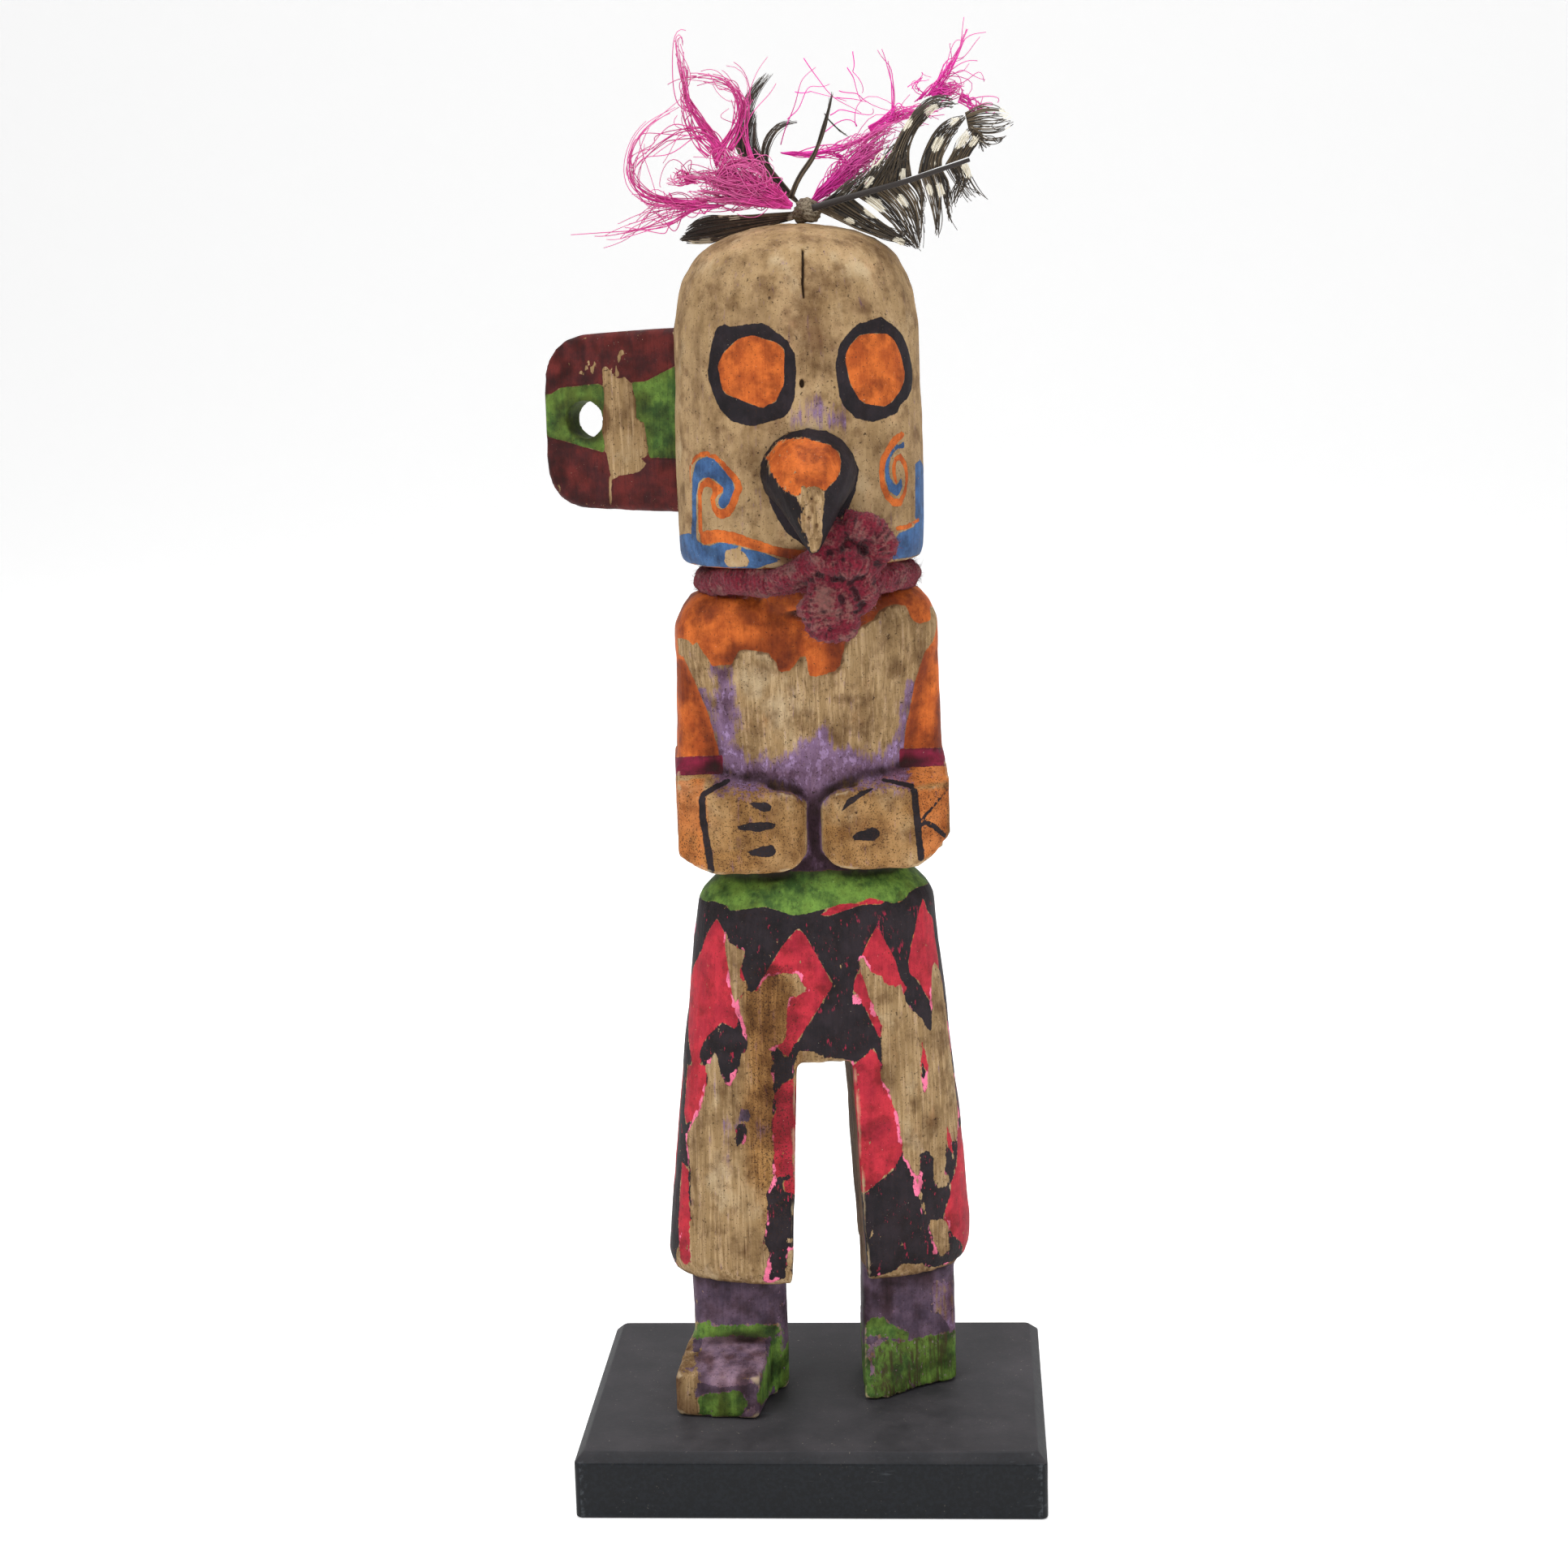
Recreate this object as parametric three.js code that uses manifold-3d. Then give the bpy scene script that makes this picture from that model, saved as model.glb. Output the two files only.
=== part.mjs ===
// Carved and painted doll on a bevelled plinth, with a tied neck cord and a topknot of feathers.
// Millimetres, +Z up. The origin is the middle of the plinth's underside and the doll faces -Y.
import * as THREE from "three";
import { mergeVertices } from "three/addons/utils/BufferGeometryUtils.js";
import Module from "manifold-3d";

const wasm = await Module();
wasm.setup();

// Plinth
const PLINTH_LENGTH = 101.6;
const PLINTH_DEPTH = 76.2;
const PLINTH_HEIGHT = 14.7;
const PLINTH_BEVEL = 2.1;
const PLINTH_CORNER_RADIUS = 1.2;
const PLINTH_BOTTOM_EASE = 0.4;

// Clearance left wherever two pieces touch
const FIT_GAP = 0.3;

// Points closer than this are one point
const WELD_DISTANCE = 1e-4;

// How many sides a round outline has
const HEAD_SIDES = 34;
const NECK_SIDES = 24;
const TORSO_SIDES = 28;
const ARM_SIDES = 20;
const ANKLE_SIDES = 28;
const BEAK_SIDES = 16;
const HOLE_SIDES = 22;
const CORD_SIDES = 8;
const CORD_STEPS = 28;
const BLADE_SIDES = 4;
const BLADE_STEPS = 5;

// Where the doll stands, and how far it is turned
const DOLL_X = 1.5;
const DOLL_Y = 2;
const DOLL_TURN = THREE.MathUtils.degToRad(6.5);

// Ankles and feet
const ANKLE_LEFT_X = -18.7;
const ANKLE_RIGHT_X = 19.3;
const ANKLE_HALF_WIDTH = 10.5;
const ANKLE_FRONT = 5.5;
const ANKLE_BACK = 10;
const ANKLE_OVERLAP = 7.5;
const ANKLE_SQUARENESS = 5;
const FOOT_TURN = THREE.MathUtils.degToRad(-14);
const FOOT_WIDTH = 19;
const FOOT_LENGTH = 24;
const TOE_HEIGHT = 9.3;
const INSTEP_HEIGHT = 12.5;
const FOOT_EDGE = 0.7;
const BREAK_HEIGHT = 14;
const TOE_X = -25;
const TOE_Y = -18.7;

// Kilt
const KILT_BOTTOM = 28.5;
const KILT_HEIGHT = 92.5;
const KILT_TOP = KILT_BOTTOM + KILT_HEIGHT;
const KILT_HALF_WIDTH = 33.9;
const KILT_FRONT = 16.8;
const KILT_BACK = 17;
const KILT_SQUARENESS = 2.3;
const LEG_SLOT_X = 0.9;
const LEG_SLOT_HEIGHT = 51;
const LEG_SLOT_TOP_HALF_WIDTH = 6;
const LEG_SLOT_HEM_HALF_WIDTH = 8.6;

// Torso and arms, which rise from inside the top of the kilt
const WAIST_OVERLAP = 4;
const WAIST_HEIGHT = KILT_TOP - WAIST_OVERLAP;
const TORSO_X = 0.15;
const TORSO_HEIGHT = 64.5;
const SHOULDER_TOP = WAIST_HEIGHT + TORSO_HEIGHT;
const TORSO_HALF_WIDTH = 28.7;
const TORSO_FRONT = 15;
const TORSO_BACK = 14;
const TORSO_SQUARENESS = 3.2;
const ARM_MIDDLE = 20.5;
const ARM_DROP_FROM_SHOULDER = 1;
const ARM_HEIGHT = 56.5;
const ARM_BOTTOM = SHOULDER_TOP - ARM_DROP_FROM_SHOULDER - ARM_HEIGHT;
const ARM_REACH = 29.35;
const ARM_FRONT = 9.5;
const ARM_BACK = 9.5;
const ARM_SQUARENESS = 3.4;
const SHOULDER_ROUNDING_START = 0.9;
const SHOULDER_ROUNDING_RATE = 2;

// Forearms, each a squared block that ends in a fist
const ELBOW_DROP = 2.2;
const FOREARM_BOTTOM = ARM_BOTTOM - ELBOW_DROP;
const FOREARM_REACH = 29.15;
const FIST_GAP = 1.4;
const FOREARM_FRONT = 16.5;
const FOREARM_BACK = 9;
const FOREARM_FRONT_HEIGHT = 17.9;
const FOREARM_TOP_RISE = 4;
const FOREARM_BLOCK_HEIGHT = 25;
const FIST_ROUNDING = 8.5;
const FOREARM_EDGE = 1.6;
const LEFT_ELBOW = { run: 8, rise: 4 };
const RIGHT_ELBOW = { run: 7, rise: 6.5 };
const ELBOW_FACET_RUN = 4.4;
const ELBOW_FACET_DEPTH = 3.5;

// Head, held on a short neck
const NECK_LENGTH = 6.1;
const NECK_HALF_WIDTH = 17;
const NECK_HALF_DEPTH = 16;
const NECK_OVERLAP = 3;
const HEAD_X = -0.3;
const HEAD_BOTTOM = SHOULDER_TOP + NECK_LENGTH;
const HEAD_HEIGHT = 70.4;
const HEAD_TOP = HEAD_BOTTOM + HEAD_HEIGHT;
const HEAD_HALF_WIDTH = 26.4;
const HEAD_HALF_DEPTH = 24.8;
const HEAD_SQUARENESS = 2.1;

// Ear plate
const EAR_SWEEP = THREE.MathUtils.degToRad(20.5);
const EAR_STANDS_OUT = 31.1;
const EAR_SINK = 6.4;
const EAR_REACH = HEAD_HALF_WIDTH + EAR_STANDS_OUT;
const EAR_ROOT = HEAD_HALF_WIDTH - EAR_SINK;
const EAR_RISE = 29.7;
const EAR_MIDDLE_HEIGHT = HEAD_BOTTOM + EAR_RISE;
const EAR_HALF_HEIGHT = 19;
const EAR_THICKNESS = 5.4;
const EAR_TOP_CORNER = 12.5;
const EAR_LOW_CORNER = 11;
const EAR_ROOT_FLARE = 1;
const EAR_HOLE_FROM_TIP = 10;
const EAR_HOLE_REACH = EAR_REACH - EAR_HOLE_FROM_TIP;
const EAR_HOLE_RADIUS = 4.1;
const EAR_HOLE_RISE = 0.5;
const EAR_HOLE_LEAN = THREE.MathUtils.degToRad(13);
const EAR_EDGE_ROUNDING = 1;

// Beak
const BEAK_X = 0.2;
const BEAK_HALF_WIDTH = 10.1;
const BEAK_RISE = 19.9;
const BEAK_MIDDLE_HEIGHT = HEAD_BOTTOM + BEAK_RISE;

// Neck cord, which lies in the hollow between the shoulders and the head
const CORD_X = 0.9;
const CORD_RISE = 2.1;
const CORD_MIDDLE_HEIGHT = SHOULDER_TOP + CORD_RISE;
const CORD_RADIUS = 3.4;
const CORD_SLACK = 1;
const CORD_RING_RADIUS = NECK_HALF_WIDTH + CORD_RADIUS + CORD_SLACK;
const CORD_TILT = THREE.MathUtils.degToRad(4);

// Topknot tie, which stands on the crown, and is where every feather starts
const TIE_X = 4.2;
const TIE_Y = 2.5;
const TIE_RISE = 3;
const TIE_RADIUS = 2.6;
const TIE = new THREE.Vector3(TIE_X, TIE_Y, PLINTH_HEIGHT + FIT_GAP + HEAD_TOP + TIE_RISE);

const DOLL_FRAME = new THREE.Matrix4()
  .makeRotationZ(DOLL_TURN)
  .setPosition(DOLL_X, DOLL_Y, PLINTH_HEIGHT + FIT_GAP);

// A geometry with its shared points merged and nothing but positions kept.
function welded(geometry) {
  const plain = geometry.clone();
  plain.deleteAttribute("normal");
  plain.deleteAttribute("uv");
  return mergeVertices(plain, WELD_DISTANCE);
}

// A geometry as a solid that can be joined and cut.
function solid(geometry) {
  const merged = welded(geometry);
  return new wasm.Manifold(
    new wasm.Mesh({
      numProp: 3,
      vertProperties: merged.attributes.position.array,
      triVerts: new Uint32Array(merged.index.array),
    }),
  );
}

// The same, for a geometry given in the doll's own frame.
function dollSolid(geometry) {
  return solid(geometry.clone().applyMatrix4(DOLL_FRAME));
}

// A welded geometry as it is for the right-hand side, or turned over for the left-hand side.
function mirrored(geometry, side) {
  if (side > 0) return geometry;
  const turned = geometry.clone().applyMatrix4(new THREE.Matrix4().makeScale(-1, 1, 1));
  const order = turned.index.array;
  for (let i = 0; i < order.length; i += 3) {
    [order[i + 1], order[i + 2]] = [order[i + 2], order[i + 1]];
  }
  return turned;
}

// A closed surface through rings of equal count, listed so that it grows towards their normal.
function skin(rings) {
  const count = rings[0].length;
  const points = rings.flat();
  const faces = [];
  for (let level = 0; level + 1 < rings.length; level += 1) {
    for (let i = 0; i < count; i += 1) {
      const a = level * count + i;
      const b = level * count + ((i + 1) % count);
      faces.push(a, b, b + count, a, b + count, a + count);
    }
  }
  const last = (rings.length - 1) * count;
  const startCentre = points.length;
  const endCentre = startCentre + 1;
  points.push(middleOf(rings[0]), middleOf(rings[rings.length - 1]));
  for (let i = 0; i < count; i += 1) {
    const next = (i + 1) % count;
    faces.push(startCentre, next, i, endCentre, last + i, last + next);
  }
  return new THREE.BufferGeometry().setFromPoints(points).setIndex(faces);
}

// The main body of a cut solid, without slivers.
function largest(made) {
  const bodies = made.decompose();
  return bodies.reduce((most, next) => (next.volume() > most.volume() ? next : most));
}

function middleOf(ring) {
  const sum = new THREE.Vector3();
  for (const point of ring) sum.add(point);
  return sum.divideScalar(ring.length);
}

// One level outline: an ellipse when square is 2, boxier above that.
function outline({ z, x = 0, y = 0, wide, front, back, square = 2 }, sides) {
  const power = 2 / square;
  const ring = [];
  for (let i = 0; i < sides; i += 1) {
    const angle = (2 * Math.PI * i) / sides;
    const across = Math.cos(angle);
    const along = Math.sin(angle);
    const reach = along < 0 ? front : back;
    ring.push(
      new THREE.Vector3(
        x + wide * Math.sign(across) * Math.abs(across) ** power,
        y + reach * Math.sign(along) * Math.abs(along) ** power,
        z,
      ),
    );
  }
  return ring;
}

// A solid through level outlines listed from the bottom up, grown all round by a clearance.
function loft(levels, sides, grow = 0) {
  const rings = levels.map((level, i) => {
    const end = i === 0 ? -grow : i === levels.length - 1 ? grow : 0;
    return outline(
      {
        ...level,
        z: level.z + end,
        wide: level.wide + grow,
        front: level.front + grow,
        back: level.back + grow,
      },
      sides,
    );
  });
  return skin(rings);
}

// A flat outline pushed along +Z, with rounded edges if asked for.
function pushed(shape, length, rounding = 0) {
  const geometry = new THREE.ExtrudeGeometry(shape, {
    depth: length - 2 * rounding,
    bevelEnabled: rounding > 0,
    bevelThickness: rounding,
    bevelSize: rounding,
    bevelOffset: -rounding,
    bevelSegments: 1,
    curveSegments: 6,
  });
  return geometry.translate(0, 0, rounding);
}

// Turns that stand a pushed outline up: seen from the front, or seen from the side.
const FACING_FRONT = new THREE.Matrix4().makeRotationX(Math.PI / 2);
const FACING_SIDE = new THREE.Matrix4().set(0, 0, 1, 0, 1, 0, 0, 0, 0, 1, 0, 0, 0, 0, 0, 1);

// Plinth
function plinthRing(z, inset) {
  const halfLength = PLINTH_LENGTH / 2 - inset;
  const halfDepth = PLINTH_DEPTH / 2 - inset;
  const radius = PLINTH_CORNER_RADIUS;
  const steps = 4;
  const ring = [];
  for (let corner = 0; corner < 4; corner += 1) {
    const signX = corner === 0 || corner === 3 ? 1 : -1;
    const signY = corner < 2 ? 1 : -1;
    for (let step = 0; step <= steps; step += 1) {
      const angle = ((corner + step / steps) * Math.PI) / 2;
      ring.push(
        new THREE.Vector3(
          signX * (halfLength - radius) + radius * Math.cos(angle),
          signY * (halfDepth - radius) + radius * Math.sin(angle),
          z,
        ),
      );
    }
  }
  return ring;
}

const plinth = solid(
  skin([
    plinthRing(0, PLINTH_BOTTOM_EASE),
    plinthRing(PLINTH_BOTTOM_EASE, 0),
    plinthRing(PLINTH_HEIGHT - PLINTH_BEVEL, 0),
    plinthRing(PLINTH_HEIGHT, PLINTH_BEVEL),
  ]),
);

// Head: a round-topped drum. Each pair is a share of the height and of the width.
const HEAD_PROFILE = [
  [0, 0.955],
  [0.026, 0.985],
  [0.12, 1],
  [0.25, 1],
  [0.46, 0.992],
  [0.7, 0.98],
  [0.75, 0.96],
  [0.8, 0.937],
  [0.848, 0.895],
  [0.895, 0.825],
  [0.925, 0.755],
  [0.95, 0.655],
  [0.972, 0.52],
  [0.989, 0.33],
  [1, 0.1],
];

function head(grow = 0) {
  const levels = HEAD_PROFILE.map(([rise, share]) => ({
    z: HEAD_BOTTOM + rise * HEAD_HEIGHT,
    x: HEAD_X,
    wide: share * HEAD_HALF_WIDTH,
    front: share * HEAD_HALF_DEPTH,
    back: share * HEAD_HALF_DEPTH,
    square: HEAD_SQUARENESS,
  }));
  return dollSolid(loft(levels, HEAD_SIDES, grow));
}

function neck(grow = 0) {
  const levels = [SHOULDER_TOP - NECK_OVERLAP, HEAD_BOTTOM + NECK_OVERLAP].map((z) => ({
    z,
    wide: NECK_HALF_WIDTH,
    front: NECK_HALF_DEPTH,
    back: NECK_HALF_DEPTH,
  }));
  return dollSolid(loft(levels, NECK_SIDES, grow));
}

// Torso: belly, then a chest that widens to the shoulders.
// Each row is a share of the height, of the width, of the front and of the back.
const TORSO_PROFILE = [
  [0, 0.68, 0.74, 0.82],
  [0.2, 0.67, 0.76, 0.8],
  [0.4, 0.81, 0.84, 0.84],
  [0.6, 0.905, 0.93, 0.94],
  [0.8, 0.99, 1, 1],
  [0.89, 0.985, 0.99, 0.98],
  [0.95, 0.925, 0.93, 0.9],
  [0.985, 0.85, 0.84, 0.8],
  [1, 0.76, 0.74, 0.7],
];

function torso(grow = 0) {
  const levels = TORSO_PROFILE.map(([rise, width, front, back]) => ({
    z: WAIST_HEIGHT + rise * TORSO_HEIGHT,
    x: TORSO_X,
    wide: width * TORSO_HALF_WIDTH,
    front: front * TORSO_FRONT,
    back: back * TORSO_BACK,
    square: TORSO_SQUARENESS,
  }));
  return dollSolid(loft(levels, TORSO_SIDES, grow));
}

// Upper arms, set back from the chest. Each pair is a share of the height and of the reach.
const ARM_PROFILE = [
  [0, 0.98],
  [0.2, 1],
  [0.4, 0.98],
  [0.75, 0.965],
  [0.89, 0.945],
  [0.955, 0.9],
  [1, 0.84],
];

function upperArm(side, grow = 0) {
  const levels = ARM_PROFILE.map(([rise, share]) => {
    const past = Math.max(rise - SHOULDER_ROUNDING_START, 0);
    const fade = 1 - SHOULDER_ROUNDING_RATE * past;
    return {
      z: ARM_BOTTOM + rise * ARM_HEIGHT,
      x: ARM_MIDDLE,
      wide: share * ARM_REACH - ARM_MIDDLE,
      front: fade * ARM_FRONT,
      back: fade * ARM_BACK,
      square: ARM_SQUARENESS,
    };
  });
  const arm = mirrored(loft(levels, ARM_SIDES, grow), side).translate(TORSO_X, 0, 0);
  return dollSolid(arm);
}

// Forearm and fist: the block that its front, side and top outlines have in common.
function forearm(side, elbow) {
  const inner = FIST_GAP / 2;
  const top = FOREARM_BOTTOM + FOREARM_BLOCK_HEIGHT;
  const knuckle = FOREARM_BOTTOM + FOREARM_FRONT_HEIGHT;
  const length = FOREARM_FRONT + FOREARM_BACK;
  const edge = FOREARM_EDGE;

  const frontView = new THREE.Shape();
  frontView.moveTo(FOREARM_REACH, top);
  frontView.lineTo(FOREARM_REACH - 1.5 * FIST_ROUNDING, top);
  frontView.lineTo(inner + FIST_ROUNDING, knuckle);
  frontView.quadraticCurveTo(inner, knuckle, inner, FOREARM_BOTTOM + FIST_ROUNDING);
  frontView.quadraticCurveTo(inner, FOREARM_BOTTOM, inner + FIST_ROUNDING, FOREARM_BOTTOM);
  frontView.lineTo(FOREARM_REACH - elbow.run, FOREARM_BOTTOM);
  frontView.lineTo(FOREARM_REACH, FOREARM_BOTTOM + elbow.rise);

  const sideView = new THREE.Shape();
  sideView.moveTo(FOREARM_BACK, FOREARM_BOTTOM);
  sideView.lineTo(FOREARM_BACK, top);
  sideView.lineTo(-ARM_FRONT, knuckle + FOREARM_TOP_RISE);
  sideView.lineTo(-FOREARM_FRONT + edge, knuckle);
  sideView.quadraticCurveTo(-FOREARM_FRONT, knuckle, -FOREARM_FRONT, knuckle - edge);
  sideView.lineTo(-FOREARM_FRONT, FOREARM_BOTTOM + edge);
  sideView.quadraticCurveTo(
    -FOREARM_FRONT,
    FOREARM_BOTTOM,
    -FOREARM_FRONT + edge,
    FOREARM_BOTTOM,
  );

  const topView = new THREE.Shape();
  topView.moveTo(FOREARM_REACH, FOREARM_BACK);
  topView.lineTo(inner, FOREARM_BACK);
  topView.lineTo(inner, -FOREARM_FRONT + FIST_ROUNDING);
  topView.quadraticCurveTo(inner, -FOREARM_FRONT, inner + FIST_ROUNDING, -FOREARM_FRONT);
  topView.lineTo(FOREARM_REACH - ELBOW_FACET_RUN, -FOREARM_FRONT);
  topView.lineTo(FOREARM_REACH, -FOREARM_FRONT + ELBOW_FACET_DEPTH);

  const seenFromFront = pushed(frontView, length)
    .applyMatrix4(FACING_FRONT)
    .translate(0, FOREARM_BACK, 0);
  const seenFromSide = pushed(sideView, FOREARM_REACH + edge).applyMatrix4(FACING_SIDE);
  const seenFromTop = pushed(topView, FOREARM_BLOCK_HEIGHT).translate(0, 0, FOREARM_BOTTOM);
  const place = (geometry) => {
    return dollSolid(mirrored(welded(geometry), side).translate(TORSO_X, 0, 0));
  };
  return place(seenFromFront).intersect(place(seenFromSide)).intersect(place(seenFromTop));
}

// Kilt: each row is a share of the height, of the width and of the depth, then a sideways shift.
const KILT_PROFILE = [
  [0, 0.92, 0.88, -0.5],
  [0.018, 0.972, 0.95, -0.5],
  [0.05, 1, 1, -0.5],
  [0.11, 0.996, 1, -0.2],
  [0.235, 0.965, 1, 0.1],
  [0.48, 0.9, 1, 0.3],
  [0.6, 0.862, 0.995, 0.4],
  [0.84, 0.793, 0.985, 0.55],
  [0.902, 0.772, 0.98, 0.8],
  [0.92, 0.762, 0.965, 0.8],
  [0.94, 0.735, 0.92, 0.8],
  [0.963, 0.675, 0.83, 0.8],
  [0.985, 0.6, 0.72, 0.8],
  [1, 0.53, 0.62, 0.8],
];

function kilt() {
  const levels = KILT_PROFILE.map(([rise, width, depth, shift]) => ({
    z: KILT_BOTTOM + rise * KILT_HEIGHT,
    x: shift,
    wide: width * KILT_HALF_WIDTH,
    front: depth * KILT_FRONT,
    back: depth * KILT_BACK,
    square: KILT_SQUARENESS,
  }));
  return dollSolid(loft(levels, HEAD_SIDES));
}

function legSlot() {
  const reach = 2 * KILT_BACK;
  const top = KILT_BOTTOM + LEG_SLOT_HEIGHT;
  const below = KILT_BOTTOM - LEG_SLOT_TOP_HALF_WIDTH;
  const slot = new THREE.Shape();
  slot.moveTo(LEG_SLOT_X - LEG_SLOT_HEM_HALF_WIDTH, below);
  slot.lineTo(LEG_SLOT_X + LEG_SLOT_HEM_HALF_WIDTH, below);
  slot.lineTo(LEG_SLOT_X + LEG_SLOT_TOP_HALF_WIDTH, top);
  slot.lineTo(LEG_SLOT_X - LEG_SLOT_TOP_HALF_WIDTH, top);
  const geometry = pushed(slot, 2 * reach).applyMatrix4(FACING_FRONT).translate(0, reach, 0);
  return dollSolid(geometry);
}

// Ankles and feet
function ankle(x) {
  const levels = [0, BREAK_HEIGHT, KILT_BOTTOM + ANKLE_OVERLAP].map((z) => ({
    z,
    x,
    wide: ANKLE_HALF_WIDTH,
    front: ANKLE_FRONT,
    back: ANKLE_BACK,
    square: ANKLE_SQUARENESS,
  }));
  return dollSolid(loft(levels, ANKLE_SIDES));
}

function wholeFoot() {
  const side = new THREE.Shape();
  side.moveTo(0, 0);
  side.lineTo(FOOT_LENGTH, 0);
  side.lineTo(FOOT_LENGTH, INSTEP_HEIGHT);
  side.lineTo(FOOT_LENGTH / 2, INSTEP_HEIGHT);
  side.lineTo(FOOT_EDGE, TOE_HEIGHT);
  const foot = pushed(side, FOOT_WIDTH, FOOT_EDGE)
    .applyMatrix4(FACING_SIDE)
    .translate(-FOOT_WIDTH / 2, 0, 0)
    .rotateZ(FOOT_TURN)
    .translate(TOE_X, TOE_Y, 0);
  const heel = { back: 8, square: 8 };
  const heelBlock = skin([
    outline({ ...heel, z: 0, x: -16, wide: 5.2, front: 8.6 }, ARM_SIDES),
    outline({ ...heel, z: BREAK_HEIGHT, x: -15, wide: 6, front: ANKLE_FRONT }, ARM_SIDES),
  ]);
  return dollSolid(foot).add(dollSolid(heelBlock));
}

// The other foot is broken off on a slant in front of the ankle.
// Corners are given level with the sole, then at the top of the break.
const BREAK_SOLE = [
  [7.9, -13.4],
  [12.6, -13],
  [20.2, -8],
  [29.8, -3.6],
  [29.8, 9.6],
  [9, 9.6],
];
const BREAK_TOP = [
  [9, -5.8],
  [13, -6],
  [20.2, -5.9],
  [29.4, -4.6],
  [29.4, 9.4],
  [9, 9.4],
];

function cornerRing(corners, z) {
  const steps = 3;
  return corners.flatMap(([x, y], i) => {
    const [nextX, nextY] = corners[(i + 1) % corners.length];
    return Array.from({ length: steps }, (_, step) => {
      const share = step / steps;
      return new THREE.Vector3(x + share * (nextX - x), y + share * (nextY - y), z);
    });
  });
}

function brokenFoot() {
  return dollSolid(skin([cornerRing(BREAK_SOLE, 0), cornerRing(BREAK_TOP, BREAK_HEIGHT)]));
}

// Everything the neck cord, beak and ear are fitted against.
function upperBody(grow) {
  return head(grow)
    .add(neck(grow))
    .add(torso(grow))
    .add(upperArm(1, grow))
    .add(upperArm(-1, grow));
}

const doll = upperBody(0)
  .add(forearm(-1, LEFT_ELBOW))
  .add(forearm(1, RIGHT_ELBOW))
  .add(kilt().subtract(legSlot()))
  .add(ankle(ANKLE_LEFT_X))
  .add(ankle(ANKLE_RIGHT_X))
  .add(wholeFoot())
  .add(brokenFoot());

// Beak: rings along a curve that leaves the face and drops to the tip.
// Each row is a ring: how far it stands out from the face, its height above the middle, its
// share of the half width, its half height, and its lean in degrees.
const BEAK_RINGS = [
  [-6.8, 0, 1, 9.6, 0],
  [-1.3, 0, 1, 9.4, 8],
  [3.2, -1.2, 0.89, 8.4, 24],
  [6.7, -4.2, 0.7, 7.2, 40],
  [9.2, -8.4, 0.46, 5.2, 52],
  [10.6, -12.2, 0.26, 3.2, 58],
  [11.2, -15, 0.09, 1, 60],
];

function beak(grow = 0) {
  const rings = BEAK_RINGS.map(([out, height, width, tall, lean]) => {
    const tilt = THREE.MathUtils.degToRad(lean);
    const ring = [];
    for (let i = 0; i < BEAK_SIDES; i += 1) {
      const angle = (2 * Math.PI * i) / BEAK_SIDES;
      const up = (tall + grow) * Math.sin(angle);
      ring.push(
        new THREE.Vector3(
          BEAK_X + (width * BEAK_HALF_WIDTH + grow) * Math.cos(angle),
          -HEAD_HALF_DEPTH - out - up * Math.sin(tilt),
          BEAK_MIDDLE_HEIGHT + height + up * Math.cos(tilt),
        ),
      );
    }
    return ring;
  });
  return dollSolid(skin(rings)).subtract(head(grow ? 0 : FIT_GAP));
}

// Ear: a rounded plate swept back a little, with one hole drilled through on a slant.
function ear() {
  const half = EAR_HALF_HEIGHT;
  const reach = EAR_REACH;
  const plate = new THREE.Shape();
  plate.moveTo(-EAR_ROOT, -half - EAR_ROOT_FLARE);
  plate.lineTo(-EAR_ROOT, half + EAR_ROOT_FLARE);
  plate.lineTo(-reach + EAR_TOP_CORNER, half);
  plate.quadraticCurveTo(-reach, half, -reach, half - EAR_TOP_CORNER);
  plate.lineTo(-reach, -half + EAR_LOW_CORNER);
  plate.quadraticCurveTo(-reach, -half, -reach + EAR_LOW_CORNER, -half);
  const place = (geometry) => {
    const swept = geometry.rotateZ(-EAR_SWEEP).translate(HEAD_X, 0, EAR_MIDDLE_HEIGHT);
    return dollSolid(swept);
  };
  const blank = pushed(plate, EAR_THICKNESS, EAR_EDGE_ROUNDING)
    .applyMatrix4(FACING_FRONT)
    .translate(0, EAR_THICKNESS / 2, 0);
  const drillLength = 4 * EAR_THICKNESS;
  const drill = new THREE.CylinderGeometry(
    EAR_HOLE_RADIUS,
    EAR_HOLE_RADIUS,
    drillLength,
    HOLE_SIDES,
  )
    .rotateZ(-EAR_HOLE_LEAN)
    .translate(-EAR_HOLE_REACH, 0, EAR_HOLE_RISE);
  return place(blank).subtract(place(drill)).subtract(head(FIT_GAP));
}

function ball(x, y, z, wide, deep, tall) {
  return new THREE.IcosahedronGeometry(1, 1).scale(wide, deep, tall).translate(x, y, z);
}

// Neck cord: a ring with its knot in front. Each lobe is its place from the front of the ring
// and three half sizes.
const KNOT_LOBES = [
  [8.1, -6.6, 11.6, 4.8, 4.2, 4.6],
  [13.1, -5.1, 9.9, 4.6, 4.4, 4.8],
  [9.1, -4.6, 3.4, 5.2, 4.8, 4.6],
  [12.1, -3.1, -1.1, 4.2, 4.4, 4.6],
  [4.1, -2.1, -4.3, 6.5, 6.2, 6.9],
];

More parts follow.
